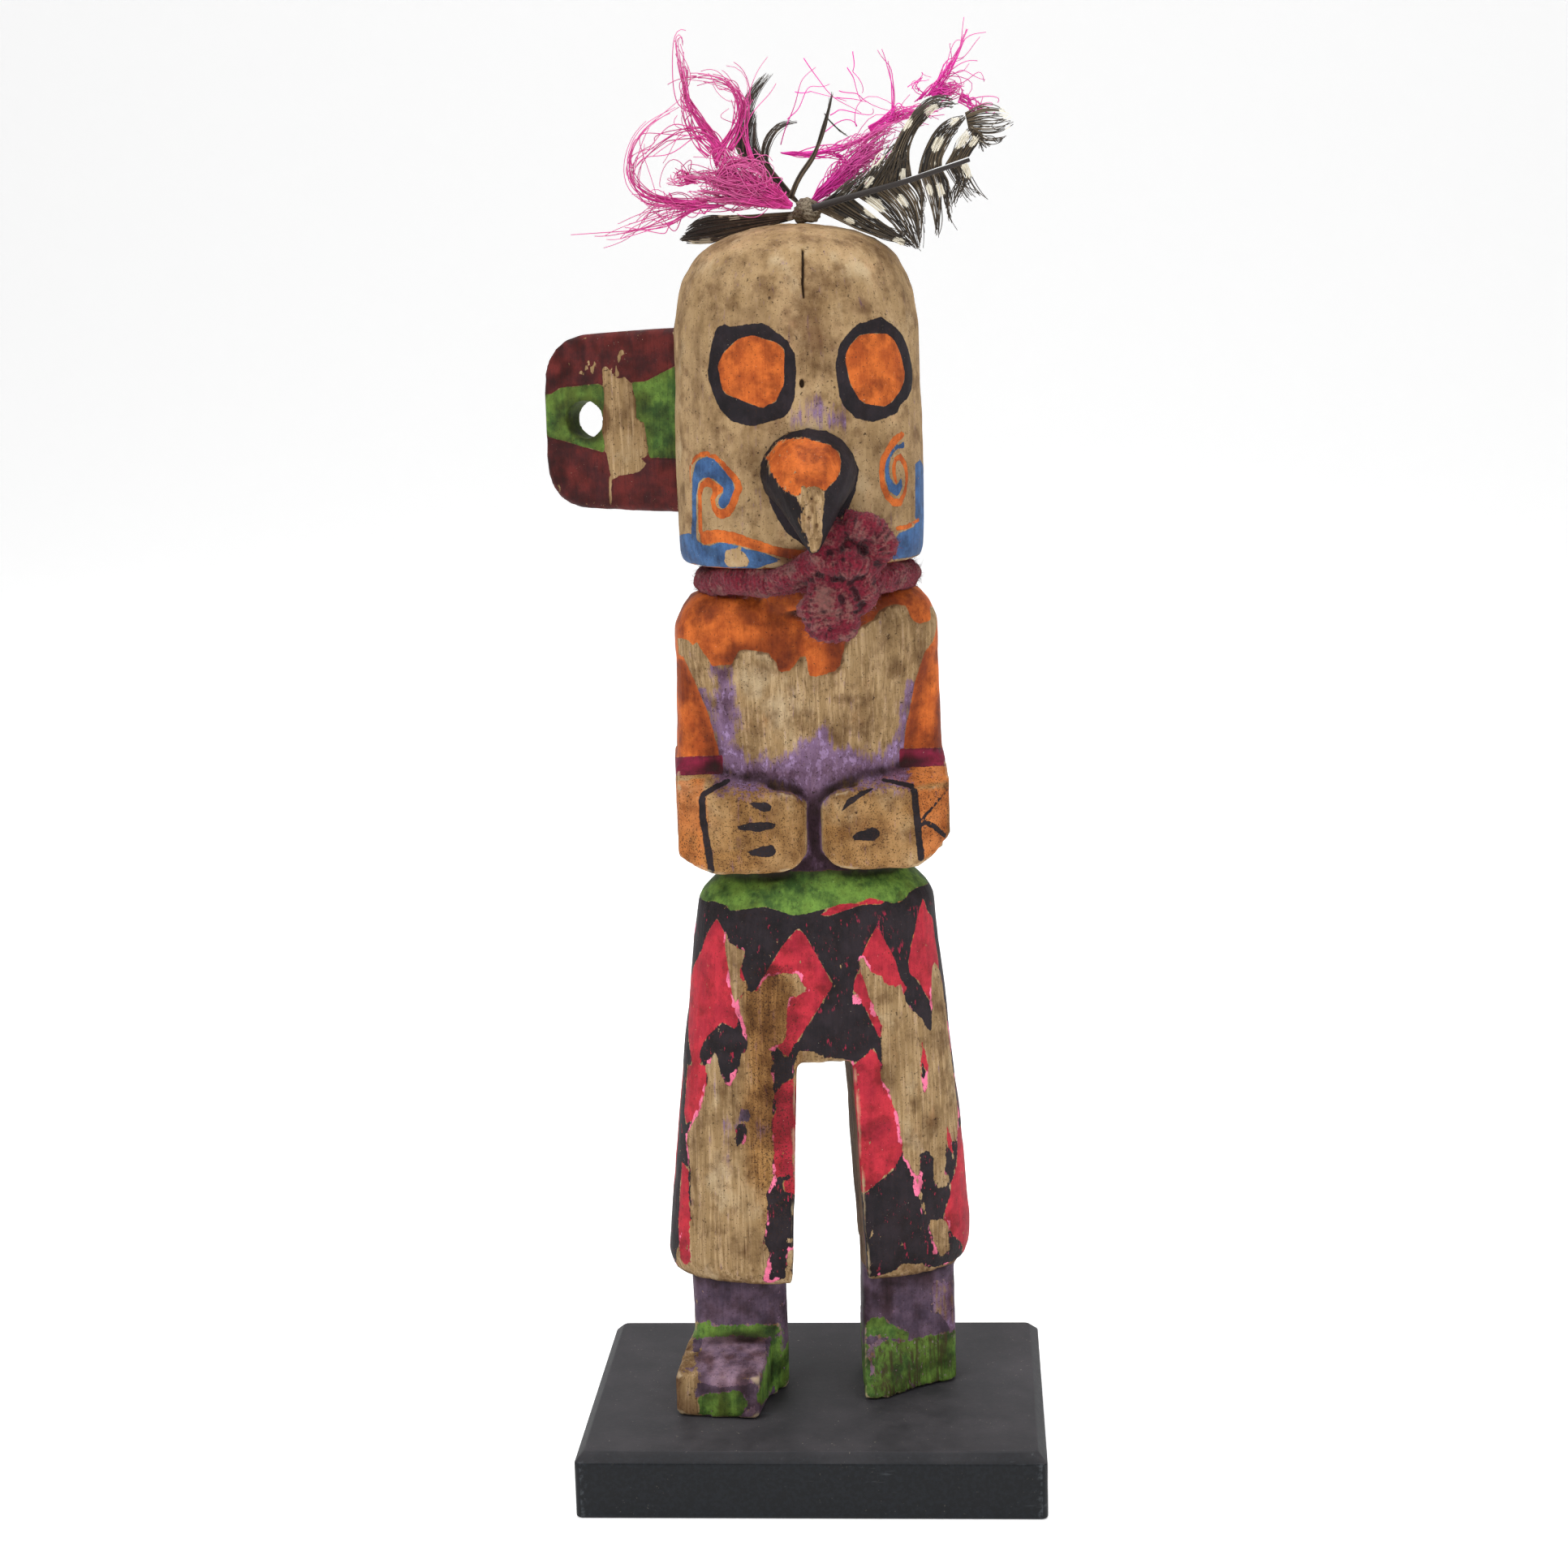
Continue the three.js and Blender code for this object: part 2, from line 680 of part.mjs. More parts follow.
function neckCord() {
  const ring = new THREE.TorusGeometry(CORD_RING_RADIUS, CORD_RADIUS, CORD_SIDES, CORD_STEPS)
    .rotateX(-CORD_TILT)
    .translate(CORD_X, 0, CORD_MIDDLE_HEIGHT);
  let cord = dollSolid(ring);
  for (const [x, y, z, ...halfSizes] of KNOT_LOBES) {
    const lobe = ball(CORD_X + x, y - CORD_RING_RADIUS, CORD_MIDDLE_HEIGHT + z, ...halfSizes);
    cord = cord.add(dollSolid(lobe));
  }
  return largest(cord.subtract(upperBody(FIT_GAP)).subtract(beak(FIT_GAP)));
}

// Topknot tie on the crown. Each lump is an offset and a share of the tie's size.
const TIE_LUMPS = [
  [0, 0, 0, 0.97],
  [0.9, -0.8, -1, 0.8],
  [-1, 0.6, -0.9, 0.85],
];

function tie(grow = 0) {
  const lumps = TIE_LUMPS.map(([x, y, z, share]) => {
    const radius = share * TIE_RADIUS + grow;
    return solid(ball(TIE.x + x, TIE.y + y, TIE.z + z, radius, radius, radius));
  });
  return lumps.reduce((made, lump) => made.add(lump));
}

// A tapering blade or lock. Its points are steps across and up from the tie, in the plane that
// faces the viewer; depth is how far behind the tie its root and its tip lie.
function blade({ through, depth, wide, thick = 1, taper = [0.6, 1, 0.85, 0.1] }) {
  const [rootDepth, tipDepth] = depth;
  const path = new THREE.CatmullRomCurve3(
    through.map(([x, z], i) => {
      const along = i / (through.length - 1);
      const y = rootDepth + along * (tipDepth - rootDepth);
      return new THREE.Vector3(x, y, z).add(TIE);
    }),
  );
  const shares = new THREE.SplineCurve(
    taper.map((share, i) => new THREE.Vector2(i / (taper.length - 1), share)),
  );
  const viewing = new THREE.Vector3(0, 1, 0);
  const thinnest = 0.06;
  const rings = [];
  for (let step = 0; step <= BLADE_STEPS; step += 1) {
    const at = step / BLADE_STEPS;
    const share = Math.max(shares.getPoint(at).y, thinnest);
    const centre = path.getPointAt(at);
    const tangent = path.getTangentAt(at);
    const across = viewing.clone().cross(tangent).normalize();
    const outward = tangent.clone().cross(across);
    const ring = [];
    for (let i = 0; i < BLADE_SIDES; i += 1) {
      const angle = (2 * Math.PI * i) / BLADE_SIDES;
      const side = across.clone().multiplyScalar((share * wide * Math.cos(angle)) / 2);
      const out = outward.clone().multiplyScalar((share * thick * Math.sin(angle)) / 2);
      ring.push(centre.clone().add(side).add(out));
    }
    rings.push(ring);
  }
  return solid(skin(rings));
}

// Blades joined into one feather, clear of the crown and the tie.
function feather(blades) {
  const made = blades.map(blade).reduce((whole, next) => whole.add(next));
  return largest(made.subtract(head(FIT_GAP)).subtract(tie(FIT_GAP)));
}

// Outlines along a blade: a quill, a clump of vane, and a lock that thins to a wisp
const QUILL = [1, 0.9, 0.7, 0.4];
const CLUMP = [0.5, 1, 1, 0.4];
const WISP = [1, 0.75, 0.5, 0.25];

// Spotted feather on the right: a quill, the upper vane in four clumps, the lower in five.
function guineaFeatherRight() {
  const quill = [[0.8, -0.4], [9.8, 1.3], [18.8, 4.2], [27.8, 7.6], [34.8, 10]];
  const upperVane = [
    { through: [[5.8, 0.4], [12.8, 4], [17.8, 8]], wide: 6.5, taper: CLUMP },
    { through: [[12.8, 2.5], [18.3, 10], [21.8, 17], [29.3, 21.6]], wide: 6 },
    { through: [[19.8, 5.5], [25.3, 12], [29.8, 18.5]], wide: 7, taper: CLUMP },
    { through: [[28.8, 8.3], [34.3, 14.5], [43.3, 16]], wide: 8.5, taper: CLUMP },
  ];
  const lowerVane = [
    { through: [[5.8, 0.3], [10.8, -2.4], [17.8, -6.5], [22.3, -8.7]], wide: 5 },
    { through: [[12.8, 2], [19.3, -2], [23.8, -10]], wide: 7 },
    { through: [[21.8, 5.2], [25.2, 0], [27.3, -7.6]], wide: 4 },
    { through: [[27.8, 7.5], [29.8, 1], [31.5, -6]], wide: 3.6 },
    { through: [[31.8, 9], [35.3, 5], [38.4, 0.2]], wide: 2.6 },
  ];
  const vane = [...upperVane, ...lowerVane].map((clump) => ({ ...clump, depth: [-4.5, -5.5] }));
  return feather([{ through: quill, depth: [-2.5, -6], wide: 2, thick: 2.4, taper: QUILL }, ...vane]);
}

// Spotted feather on the left, lying close over the crown
function guineaFeatherLeft() {
  return feather([
    {
      through: [[-0.2, -0.8], [-10.2, -1.8], [-19.2, -3.4], [-28.7, -5.4]],
      depth: [3.5, 4.5],
      wide: 1.6,
      thick: 1.6,
      taper: QUILL,
    },
    {
      through: [[-6.2, -1.4], [-14.2, -1.4], [-22.2, -2.6], [-28.8, -5.2]],
      depth: [3.9, 4.5],
      wide: 5.2,
    },
    {
      through: [[-10.2, -2.2], [-18.2, -4.6], [-24.2, -6.2], [-28.2, -6]],
      depth: [4.1, 4.5],
      wide: 4.6,
    },
  ]);
}

// Dyed plumes: a dense root, and a few locks that stand for their loops and strands
function pinkPlumeLeft() {
  const root = {
    through: [[-1.2, 0.6], [-10.2, 2], [-19.2, 5.5], [-28.7, 6.5]],
    wide: 8,
    thick: 3.4,
    taper: [0.35, 1, 0.9, 0.2],
  };
  const tallLoop = {
    through: [[-6.2, 1.4], [-13.2, 9.5], [-18.8, 18], [-20.2, 30], [-22.7, 37.6]],
    wide: 3.4,
  };
  const curl = {
    through: [[-12.2, 3.5], [-12.4, 9], [-8.6, 14.5], [-9.7, 22.5], [-17.7, 26.5]],
    wide: 2.2,
  };
  const sideLoop = {
    through: [[-22.2, 5.5], [-33.2, 6.5], [-39.7, 14], [-35.7, 22.5], [-26.7, 27]],
    wide: 3,
  };
  const lowWisp = {
    through: [[-18.2, 3.5], [-30.2, 0.5], [-42.2, -4], [-50.7, -9.5]],
    wide: 2.4,
  };
  const locks = [tallLoop, curl, sideLoop, lowWisp].map((lock) => ({
    ...lock,
    thick: 2,
    taper: WISP,
  }));
  return feather([root, ...locks].map((lock) => ({ ...lock, depth: [-4.5, -4.9] })));
}

function pinkPlumeRight() {
  const root = {
    through: [[0.4, 0.5], [8.8, 4.5], [16.3, 11.5], [22.3, 18]],
    wide: 5.4,
    taper: [0.6, 1, 1, 0.7],
  };
  const head = {
    through: [[19.8, 14.5], [25.3, 21], [32.3, 25.5]],
    wide: 4.4,
    taper: [1, 0.9, 0.9, 0.6],
  };
  const wisps = [
    { through: [[26.8, 22.6], [31.3, 29], [34.1, 38.2]], wide: 2.4 },
    { through: [[15.8, 10], [16.8, 20], [13.4, 30.5]], wide: 1.8 },
    { through: [[6.8, 3.2], [2.8, 13], [4, 23], [7.4, 30]], wide: 1.6 },
    { through: [[29.3, 24], [35.8, 24.8], [40.4, 20.4]], wide: 2.2 },
  ].map((wisp) => ({ ...wisp, taper: WISP }));
  return feather(
    [root, head, ...wisps].map((lock) => ({ ...lock, depth: [4.1, 4.3], thick: 2.4 })),
  );
}

// Narrow dark feathers that stand up behind the plumes
function darkHackleLeft() {
  const tall = {
    through: [[-1.6, 1.6], [-7.2, 3], [-12, 9.5], [-12.6, 17], [-9.2, 28.4]],
    depth: [3.1, 10.5],
    wide: 3,
  };
  const second = {
    through: [[-5.2, 2.5], [-9.8, 9], [-10.6, 19], [-7.4, 29]],
    depth: [4.9, 10.5],
    wide: 3,
  };
  const curved = {
    through: [[-5.2, 2.5], [-7.8, 8.5], [-6.6, 15.5], [-1.5, 18.6]],
    depth: [4.9, 10.5],
    wide: 3,
  };
  return feather([tall, second, curved]);
}

function darkHackleMid() {
  const tall = {
    through: [[0.2, 1], [-2.3, 5.5], [1.4, 14.5], [6.1, 25]],
    depth: [-0.5, -0.9],
    wide: 1.9,
    taper: [0.8, 1, 0.8, 0.15],
  };
  const side = {
    through: [[2.4, 15.4], [5.4, 18.6], [9.4, 14.4]],
    depth: [-0.9, -0.3],
    wide: 1.2,
    taper: [0.8, 0.8, 0.5, 0.2],
  };
  return feather([tall, side]);
}

// Colours of the plain pieces
const LOOKS = {
  plinth: { color: 0x2b2e31, roughness: 0.6 },
  doll: { color: 0xa88a5f, roughness: 0.85 },
  beak: { color: 0x35312f, roughness: 0.8 },
  ear: { color: 0x6a2a24, roughness: 0.85 },
  neck_cord: { color: 0x963348, roughness: 0.95 },
  topknot_tie: { color: 0x7d7262, roughness: 0.95 },
  guinea_feather_right: { color: 0x3e352c, roughness: 0.7 },
  guinea_feather_left: { color: 0x2f2a27, roughness: 0.7 },
  pink_plume_left: { color: 0xcf3f96, roughness: 0.8 },
  pink_plume_right: { color: 0xd23a9c, roughness: 0.8 },
  dark_hackle_left: { color: 0x4a4038, roughness: 0.7 },
  dark_hackle_mid: { color: 0x3a322d, roughness: 0.7 },
};

function asMesh(name, made) {
  const mesh = made.getMesh();
  const geometry = new THREE.BufferGeometry();
  geometry.setAttribute("position", new THREE.BufferAttribute(mesh.vertProperties, 3));
  geometry.setIndex(new THREE.BufferAttribute(mesh.triVerts, 1));
  geometry.computeVertexNormals();
  const material = new THREE.MeshStandardMaterial({ ...LOOKS[name], metalness: 0 });
  const node = new THREE.Mesh(geometry, material);
  node.name = name;
  return node;
}

const pieces = {
  plinth,
  doll,
  beak: beak(),
  ear: ear(),
  neck_cord: neckCord(),
  topknot_tie: tie().subtract(head(FIT_GAP)),
  guinea_feather_right: guineaFeatherRight(),
  guinea_feather_left: guineaFeatherLeft(),
  pink_plume_left: pinkPlumeLeft(),
  pink_plume_right: pinkPlumeRight(),
  dark_hackle_left: darkHackleLeft(),
  dark_hackle_mid: darkHackleMid(),
};

const part = new THREE.Group();
for (const [name, made] of Object.entries(pieces)) part.add(asMesh(name, made));

export default part;
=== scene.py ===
"""Kachina doll: carved wood, worn paint, yarn and feathers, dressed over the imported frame."""
from itertools import product

import bpy
import numpy as np
from mathutils import Matrix
from mathutils.kdtree import KDTree


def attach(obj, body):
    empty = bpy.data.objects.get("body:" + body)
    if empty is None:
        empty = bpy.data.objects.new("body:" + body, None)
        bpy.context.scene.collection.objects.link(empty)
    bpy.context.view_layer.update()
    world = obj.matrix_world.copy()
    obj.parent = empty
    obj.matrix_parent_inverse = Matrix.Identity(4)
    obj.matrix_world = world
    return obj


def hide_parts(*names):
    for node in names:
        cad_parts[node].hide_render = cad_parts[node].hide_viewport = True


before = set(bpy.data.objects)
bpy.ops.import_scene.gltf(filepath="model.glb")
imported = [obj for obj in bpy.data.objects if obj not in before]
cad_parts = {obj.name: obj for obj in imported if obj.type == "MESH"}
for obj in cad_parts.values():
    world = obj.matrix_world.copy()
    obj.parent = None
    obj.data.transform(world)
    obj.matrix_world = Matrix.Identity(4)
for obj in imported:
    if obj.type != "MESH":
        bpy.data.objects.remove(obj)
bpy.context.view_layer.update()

MM = 0.001

# Where the doll stands on its plinth, mm, and how far it is turned
DOLL_PLACE = np.array([1.5, 2.0, 15.0])
DOLL_TURN = np.radians(6.5)

# Heights on the doll, mm above the plinth
HEM = 28.4
KILT_TOP = 121.3
HEAD_BOTTOM = 187.6

# Nets that the carved and wound pieces are laid on, mm
WELD_GAP = 0.01
DOLL_NET = 0.8
BEAK_NET = 0.32
EAR_NET = 0.5
TIE_NET = 0.24
YARN_NET = 0.36
PLINTH_NET = 2.6
PLINTH_CORNER = 0.35
FUZZ_COUNT = 5200

# Camera: place in mm, downward pitch, turn and roll in degrees, lens in mm on a 36 mm sensor
CAMERA_PLACE = (35.89, -573.39, 262.21)
CAMERA_PITCH = 10.706
CAMERA_TURN = -3.974
CAMERA_ROLL = -1.618
CAMERA_LENS = 61.6


def select_only(piece):
    bpy.ops.object.select_all(action="DESELECT")
    piece.select_set(True)
    bpy.context.view_layer.objects.active = piece


def smooth_faces(piece):
    piece.data.polygons.foreach_set("use_smooth", [True] * len(piece.data.polygons))


def edit_whole(piece):
    """Edit mode on one piece, with all of it selected."""
    select_only(piece)
    bpy.ops.object.mode_set(mode="EDIT")
    bpy.ops.mesh.select_all(action="SELECT")


def apply_all(piece):
    select_only(piece)
    for modifier in list(piece.modifiers):
        bpy.ops.object.modifier_apply(modifier=modifier.name)


def make_camera():
    pitch, turn, roll = np.radians((CAMERA_PITCH, CAMERA_TURN, CAMERA_ROLL))
    ahead = np.array([np.sin(turn) * np.cos(pitch), np.cos(turn) * np.cos(pitch), -np.sin(pitch)])
    level = np.array([np.cos(turn), -np.sin(turn), 0.0])
    upright = np.cross(level, ahead)
    right = np.cos(roll) * level + np.sin(roll) * upright
    up = np.cos(roll) * upright - np.sin(roll) * level
    camera = bpy.data.cameras.new("camera")
    camera.sensor_width = 36
    camera.lens = CAMERA_LENS
    camera.clip_start = 0.05
    camera.clip_end = 20
    holder = bpy.data.objects.new("camera", camera)
    bpy.context.collection.objects.link(holder)
    pose = Matrix.Identity(4)
    for row in range(3):
        pose[row][0] = right[row]
        pose[row][1] = up[row]
        pose[row][2] = -ahead[row]
        pose[row][3] = CAMERA_PLACE[row] * MM
    holder.matrix_world = pose
    bpy.context.scene.camera = holder


def soft_light(name, place, aim, size, power):
    bpy.ops.object.light_add(type="AREA", location=place)
    light = bpy.context.object
    light.name = name
    light.data.shape = "SQUARE"
    light.data.size = size
    light.data.energy = power
    direction = np.array(aim) - np.array(place)
    back = -direction / np.linalg.norm(direction)
    side = np.cross((0, 0, 1), back)
    side = side / np.linalg.norm(side)
    rise = np.cross(back, side)
    turned = Matrix([[side[i], rise[i], back[i]] for i in range(3)]).to_4x4()
    light.matrix_world = Matrix.Translation(place) @ turned


# Shader sums are written as they are said.
class Value:
    """A number that changes over a surface."""

    def __init__(self, finish, socket):
        self.finish = finish
        self.socket = socket

    def __add__(self, other):
        return self.finish.maths("ADD", self, other)

    def __sub__(self, other):
        return self.finish.maths("SUBTRACT", self, other)

    def __rsub__(self, other):
        return self.finish.maths("SUBTRACT", other, self)

    def __mul__(self, other):
        return self.finish.maths("MULTIPLY", self, other)

    __radd__ = __add__
    __rmul__ = __mul__

    def step(self, low, high):
        """0 below low and 1 above high, eased between them."""
        settings = {"interpolation_type": "SMOOTHSTEP"}
        inputs = {"Value": self, "From Min": low, "From Max": high}
        return Value(self.finish, self.finish.node("ShaderNodeMapRange", settings, inputs).outputs[0])


class Finish:
    """A material and the few ways in which its nodes are put together."""

    def __init__(self, name):
        self.material = bpy.data.materials.new(name)
        self.material.use_nodes = True
        self.tree = self.material.node_tree
        self.tree.nodes.clear()
        self.place = self.node("ShaderNodeTexCoord").outputs["Object"]

    def node(self, kind, settings=None, inputs=None):
        made = self.tree.nodes.new(kind)
        for key, value in (settings or {}).items():
            setattr(made, key, value)
        for key, value in (inputs or {}).items():
            self.feed(made.inputs[key], value)
        return made

    def feed(self, socket, value):
        value = getattr(value, "socket", value)
        if isinstance(value, bpy.types.NodeSocket):
            self.tree.links.new(value, socket)
        else:
            socket.default_value = value

    def maths(self, operation, first, second):
        made = self.node("ShaderNodeMath", {"operation": operation}, {0: first, 1: second})
        return Value(self, made.outputs[0])

    def attribute(self, name):
        made = self.node("ShaderNodeAttribute", {"attribute_name": name})
        return Value(self, made.outputs["Fac"])

    def grain(self, size, detail=3.0, roughness=0.55, stretch=(1, 1, 1)):
        """Noise with patches about `size` mm across, drawn out by `stretch` along each axis."""
        scale = tuple(1 / (size * MM * share) for share in stretch)
        moved = self.node("ShaderNodeMapping", None, {"Vector": self.place, "Scale": scale})
        inputs = {"Vector": moved.outputs[0], "Scale": 1.0, "Detail": detail, "Roughness": roughness}
        return Value(self, self.node("ShaderNodeTexNoise", None, inputs).outputs[0])

    def blend(self, under, over, mask, way="MIX"):
        settings = {"data_type": "RGBA", "blend_type": way}
        made = self.node("ShaderNodeMix", settings, {0: mask, 6: under, 7: over})
        return made.outputs[2]

    def close(self, colour, roughness, height=None, depth=0.1, specular=0.3, sheen=0.0):
        settled = {"Base Color": colour, "Roughness": roughness, "Specular IOR Level": specular}
        if sheen:
            settled["Sheen Weight"] = sheen
            settled["Sheen Roughness"] = 0.5
        if height is not None:
            bump = self.node("ShaderNodeBump", None, {"Height": height, "Distance": depth * MM})
            settled["Normal"] = bump.outputs[0]
        shader = self.node("ShaderNodeBsdfPrincipled", None, settled)
        self.node("ShaderNodeOutputMaterial", None, {"Surface": shader.outputs[0]})
        return self.material


def tint(red, green, blue):
    """A colour named as a paint chart gives it, 0 to 255, turned to light."""
    shares = [channel / 255 for channel in (red, green, blue)]
    return tuple(c / 12.92 if c < 0.04045 else ((c + 0.055) / 1.055) ** 2.4 for c in shares) + (1.0,)


# Coats of paint on the wood, in the order in which they lie, with a lighter and a darker tone
COATS = {
    "maroon": ((100, 36, 33), (64, 24, 26)),
    "purple": ((104, 84, 102), (70, 56, 72)),
    "mauve": ((150, 122, 138), (104, 84, 104)),
    "blue": ((68, 104, 150), (46, 74, 116)),
    "orange": ((208, 108, 44), (160, 72, 24)),
    "green": ((112, 148, 62), (52, 82, 34)),
    "crimson": ((132, 30, 58), (92, 20, 42)),
    "red": ((190, 46, 60), (150, 28, 46)),
    "charcoal": ((42, 34, 39), (25, 20, 25)),
}
SOFT_MARKS = (
    "lilac", "ochre", "stain_and_shade", "primer", "flaking", "edge", "fibres", "crack", "smooth", "hollow", "rust",
)
WOOD_LIGHT = (178, 150, 112)
WOOD_MIDDLE = (146, 119, 82)
WOOD_DARK = (92, 68, 42)


# What wear, dirt and thin washes add to the wood and its coats, and the painted shade and painted
# highlights laid on its hollows and edges
WEAR_AND_PAINTED_LIGHT = {
    "bleached_wood": tint(196, 178, 146),
    "amber_stain": tint(240, 202, 136),
    "rust_wash": tint(196, 108, 48),
    "lilac_wash": tint(114, 88, 128),
    "lilac_chalk": tint(176, 150, 196),
    "wood_speck": tint(60, 42, 28),
    "scraped_red": tint(180, 40, 74),
    "pink_primer": tint(236, 116, 152),
    "grime": tint(150, 128, 112),
    "pore": tint(52, 32, 22),
    "pale_fleck": tint(226, 214, 190),
    "brown_stain_and_shade": tint(128, 88, 66),
    "rubbed_and_lit_edge": tint(196, 174, 140),
    "corner_shade": tint(58, 40, 28),
    "hollow": tint(96, 74, 62),
    "torn_shadow": tint(62, 50, 30),
    "torn_paint": tint(150, 120, 134),
    "crack": tint(34, 22, 16),
}


def worn_paint():
    finish = Finish("worn_paint_on_cottonwood")
    streak = finish.grain(0.8, 4, 0.6, (1, 1, 20))
    fine_streak = finish.grain(0.3, 3, 0.6, (1, 1, 30))
    blotch = finish.grain(9, 4, 0.6, (1, 1, 1.6))
    speck = finish.grain(0.75, 3, 0.6)
    pore = finish.grain(0.32, 2, 0.5)
    ragged = finish.grain(1.3, 5, 0.65, (1, 1, 1.8))
    edge = finish.attribute("edge")

    rough_grain = 1 - finish.attribute("smooth").step(0, 1) * 0.78
    rubbed = finish.grain(5, 7, 0.6, (1, 1, 1.8))
    light_wood = streak.step(0.42, 0.66) * rough_grain + rubbed.step(0.28, 0.74) * (1 - rough_grain)
    wood = finish.blend(tint(*WOOD_MIDDLE), tint(*WOOD_LIGHT), light_wood)
    wood = finish.blend(wood, tint(*WOOD_DARK), (1 - fine_streak).step(0.54, 0.72) * 0.7 * rough_grain)
    wood = finish.blend(wood, tint(*WOOD_DARK), blotch.step(0.5, 0.74) * 0.5)
    wood = finish.blend(wood, WEAR_AND_PAINTED_LIGHT["bleached_wood"], (1 - blotch).step(0.54, 0.74) * 0.45)
    ochre = (finish.attribute("ochre") + (blotch - 0.5) * 1.5).step(0.1, 1.1)
    wood = finish.blend(wood, WEAR_AND_PAINTED_LIGHT["amber_stain"], ochre * 0.7, "MULTIPLY")
    rust = (finish.attribute("rust") + (rubbed - 0.5) * 1.8).step(0.1, 1.3)
    wood = finish.blend(wood, WEAR_AND_PAINTED_LIGHT["rust_wash"], rust * 0.7)
    lilac = finish.attribute("lilac") - 1.1 + (streak - 0.5) * 5.0 + (ragged - 0.5) * 4.0
    wood = finish.blend(wood, WEAR_AND_PAINTED_LIGHT["lilac_wash"], lilac.step(-0.5, 1.2) * 0.85)
    wood = finish.blend(wood, WEAR_AND_PAINTED_LIGHT["lilac_chalk"], lilac.step(0.6, 2.2) * ragged.step(0.5, 0.62) * 0.75)
    wood = finish.blend(wood, WEAR_AND_PAINTED_LIGHT["wood_speck"], speck.step(0.63, 0.7) * 0.8)

    grime = finish.grain(5.5, 8, 0.66)
    flaking = finish.attribute("flaking")
    flake = finish.grain(1.5, 4, 0.65, (1, 1, 1.7))
    chips = (flake + flaking * 0.035 + edge * 0.1).step(0.72, 0.745)
    tatters = finish.grain(0.7, 3, 0.6, (1, 1, 2.6))
    creep = (ragged - 0.48) * 0.8 + ((ragged - 0.5) * 1.1 + (tatters - 0.5) * 0.7) * flaking
    tone = (finish.grain(4.5, 5, 0.62) * 0.75 + streak * 0.25).step(0.36, 0.64)

    colour = wood
    covered = None
    for coat, (light, dark) in COATS.items():
        field = finish.attribute("coat_" + coat) + creep
        mask = field.step(-0.06, 0.06) * (1 - chips)
        shade = finish.blend(tint(*dark), tint(*light), tone)
        if coat == "charcoal":
            scraped = tatters + finish.attribute("rust") * 0.07
            seen_red = scraped.step(0.62, 0.66) * finish.attribute("primer")
            shade = finish.blend(shade, WEAR_AND_PAINTED_LIGHT["scraped_red"], seen_red * grime.step(0.45, 0.6))
        colour = finish.blend(colour, shade, mask)
        covered = mask if covered is None else covered + mask
    covered = covered.step(0.0, 1.0)
    bare = finish.attribute("coat_wood") - (ragged - 0.5) * 1.8
    slivers = finish.grain(4, 3, 0.6, (1, 1, 1.6))
    rim = (bare + slivers.step(0.5, 0.75) * 0.9).step(-0.4, -0.25) * (1 - bare.step(-0.1, 0.1))
    rim = rim * slivers.step(0.52, 0.58)
    colour = finish.blend(colour, WEAR_AND_PAINTED_LIGHT["pink_primer"], rim * finish.attribute("primer"))

    colour = finish.blend(colour, WEAR_AND_PAINTED_LIGHT["grime"], grime.step(0.43, 0.68) * 0.7, "MULTIPLY")
    colour = finish.blend(colour, WEAR_AND_PAINTED_LIGHT["pore"], (pore + ochre * 0.08).step(0.64, 0.7) * 0.8)
    pale_flecks = (1 - pore).step(0.72, 0.76) * flake.step(0.5, 0.6) * 0.45
    colour = finish.blend(colour, WEAR_AND_PAINTED_LIGHT["pale_fleck"], pale_flecks)
    # Brown stains, and through the same mark the painted shade of creases, recesses and undersides
    stain_and_shade = finish.attribute("stain_and_shade") + (blotch - 0.5) * 2.2 + (ragged - 0.5) * 1.6 - 0.5
    colour = finish.blend(colour, WEAR_AND_PAINTED_LIGHT["brown_stain_and_shade"], stain_and_shade.step(-0.9, 1.6) * 0.75, "MULTIPLY")
    # Outward edges are lightened: partly paint and wood rubbed pale, partly a painted highlight
    colour = finish.blend(colour, WEAR_AND_PAINTED_LIGHT["rubbed_and_lit_edge"], (edge + ragged * 0.6).step(1.0, 1.5) * 0.6)
    # Painted shade in the creases and inward corners of the carving, with a ragged edge
    colour = finish.blend(colour, WEAR_AND_PAINTED_LIGHT["corner_shade"], (ragged * 0.35 - edge).step(0.5, 1.1) * 0.8)
    # Painted shade in the deeper hollows of the carving
    hollow = finish.attribute("hollow").step(0.15, 1.1) * 0.85
    colour = finish.blend(colour, WEAR_AND_PAINTED_LIGHT["hollow"], hollow, "MULTIPLY")
    torn = finish.attribute("fibres").step(0.1, 0.8)
    colour = finish.blend(colour, WEAR_AND_PAINTED_LIGHT["torn_shadow"], torn * (1 - streak).step(0.46, 0.62) * 0.8)
    colour = finish.blend(colour, WEAR_AND_PAINTED_LIGHT["torn_paint"], torn * tatters.step(0.64, 0.7) * 0.5)
    crack = finish.attribute("crack")
    colour = finish.blend(colour, WEAR_AND_PAINTED_LIGHT["crack"], crack.step(0.2, 0.9) * 0.9)

    relief = covered * 0.35 + streak * rough_grain * 0.3 + fine_streak * (1 - covered) * rough_grain * 0.5
    relief = relief + tone * 0.15 - speck.step(0.62, 0.74) * 0.3
    roughness = 0.86 - covered * 0.2 + (tone - 0.5) * 0.1
    return finish.close(colour, roughness, relief, 0.3, 0.18)


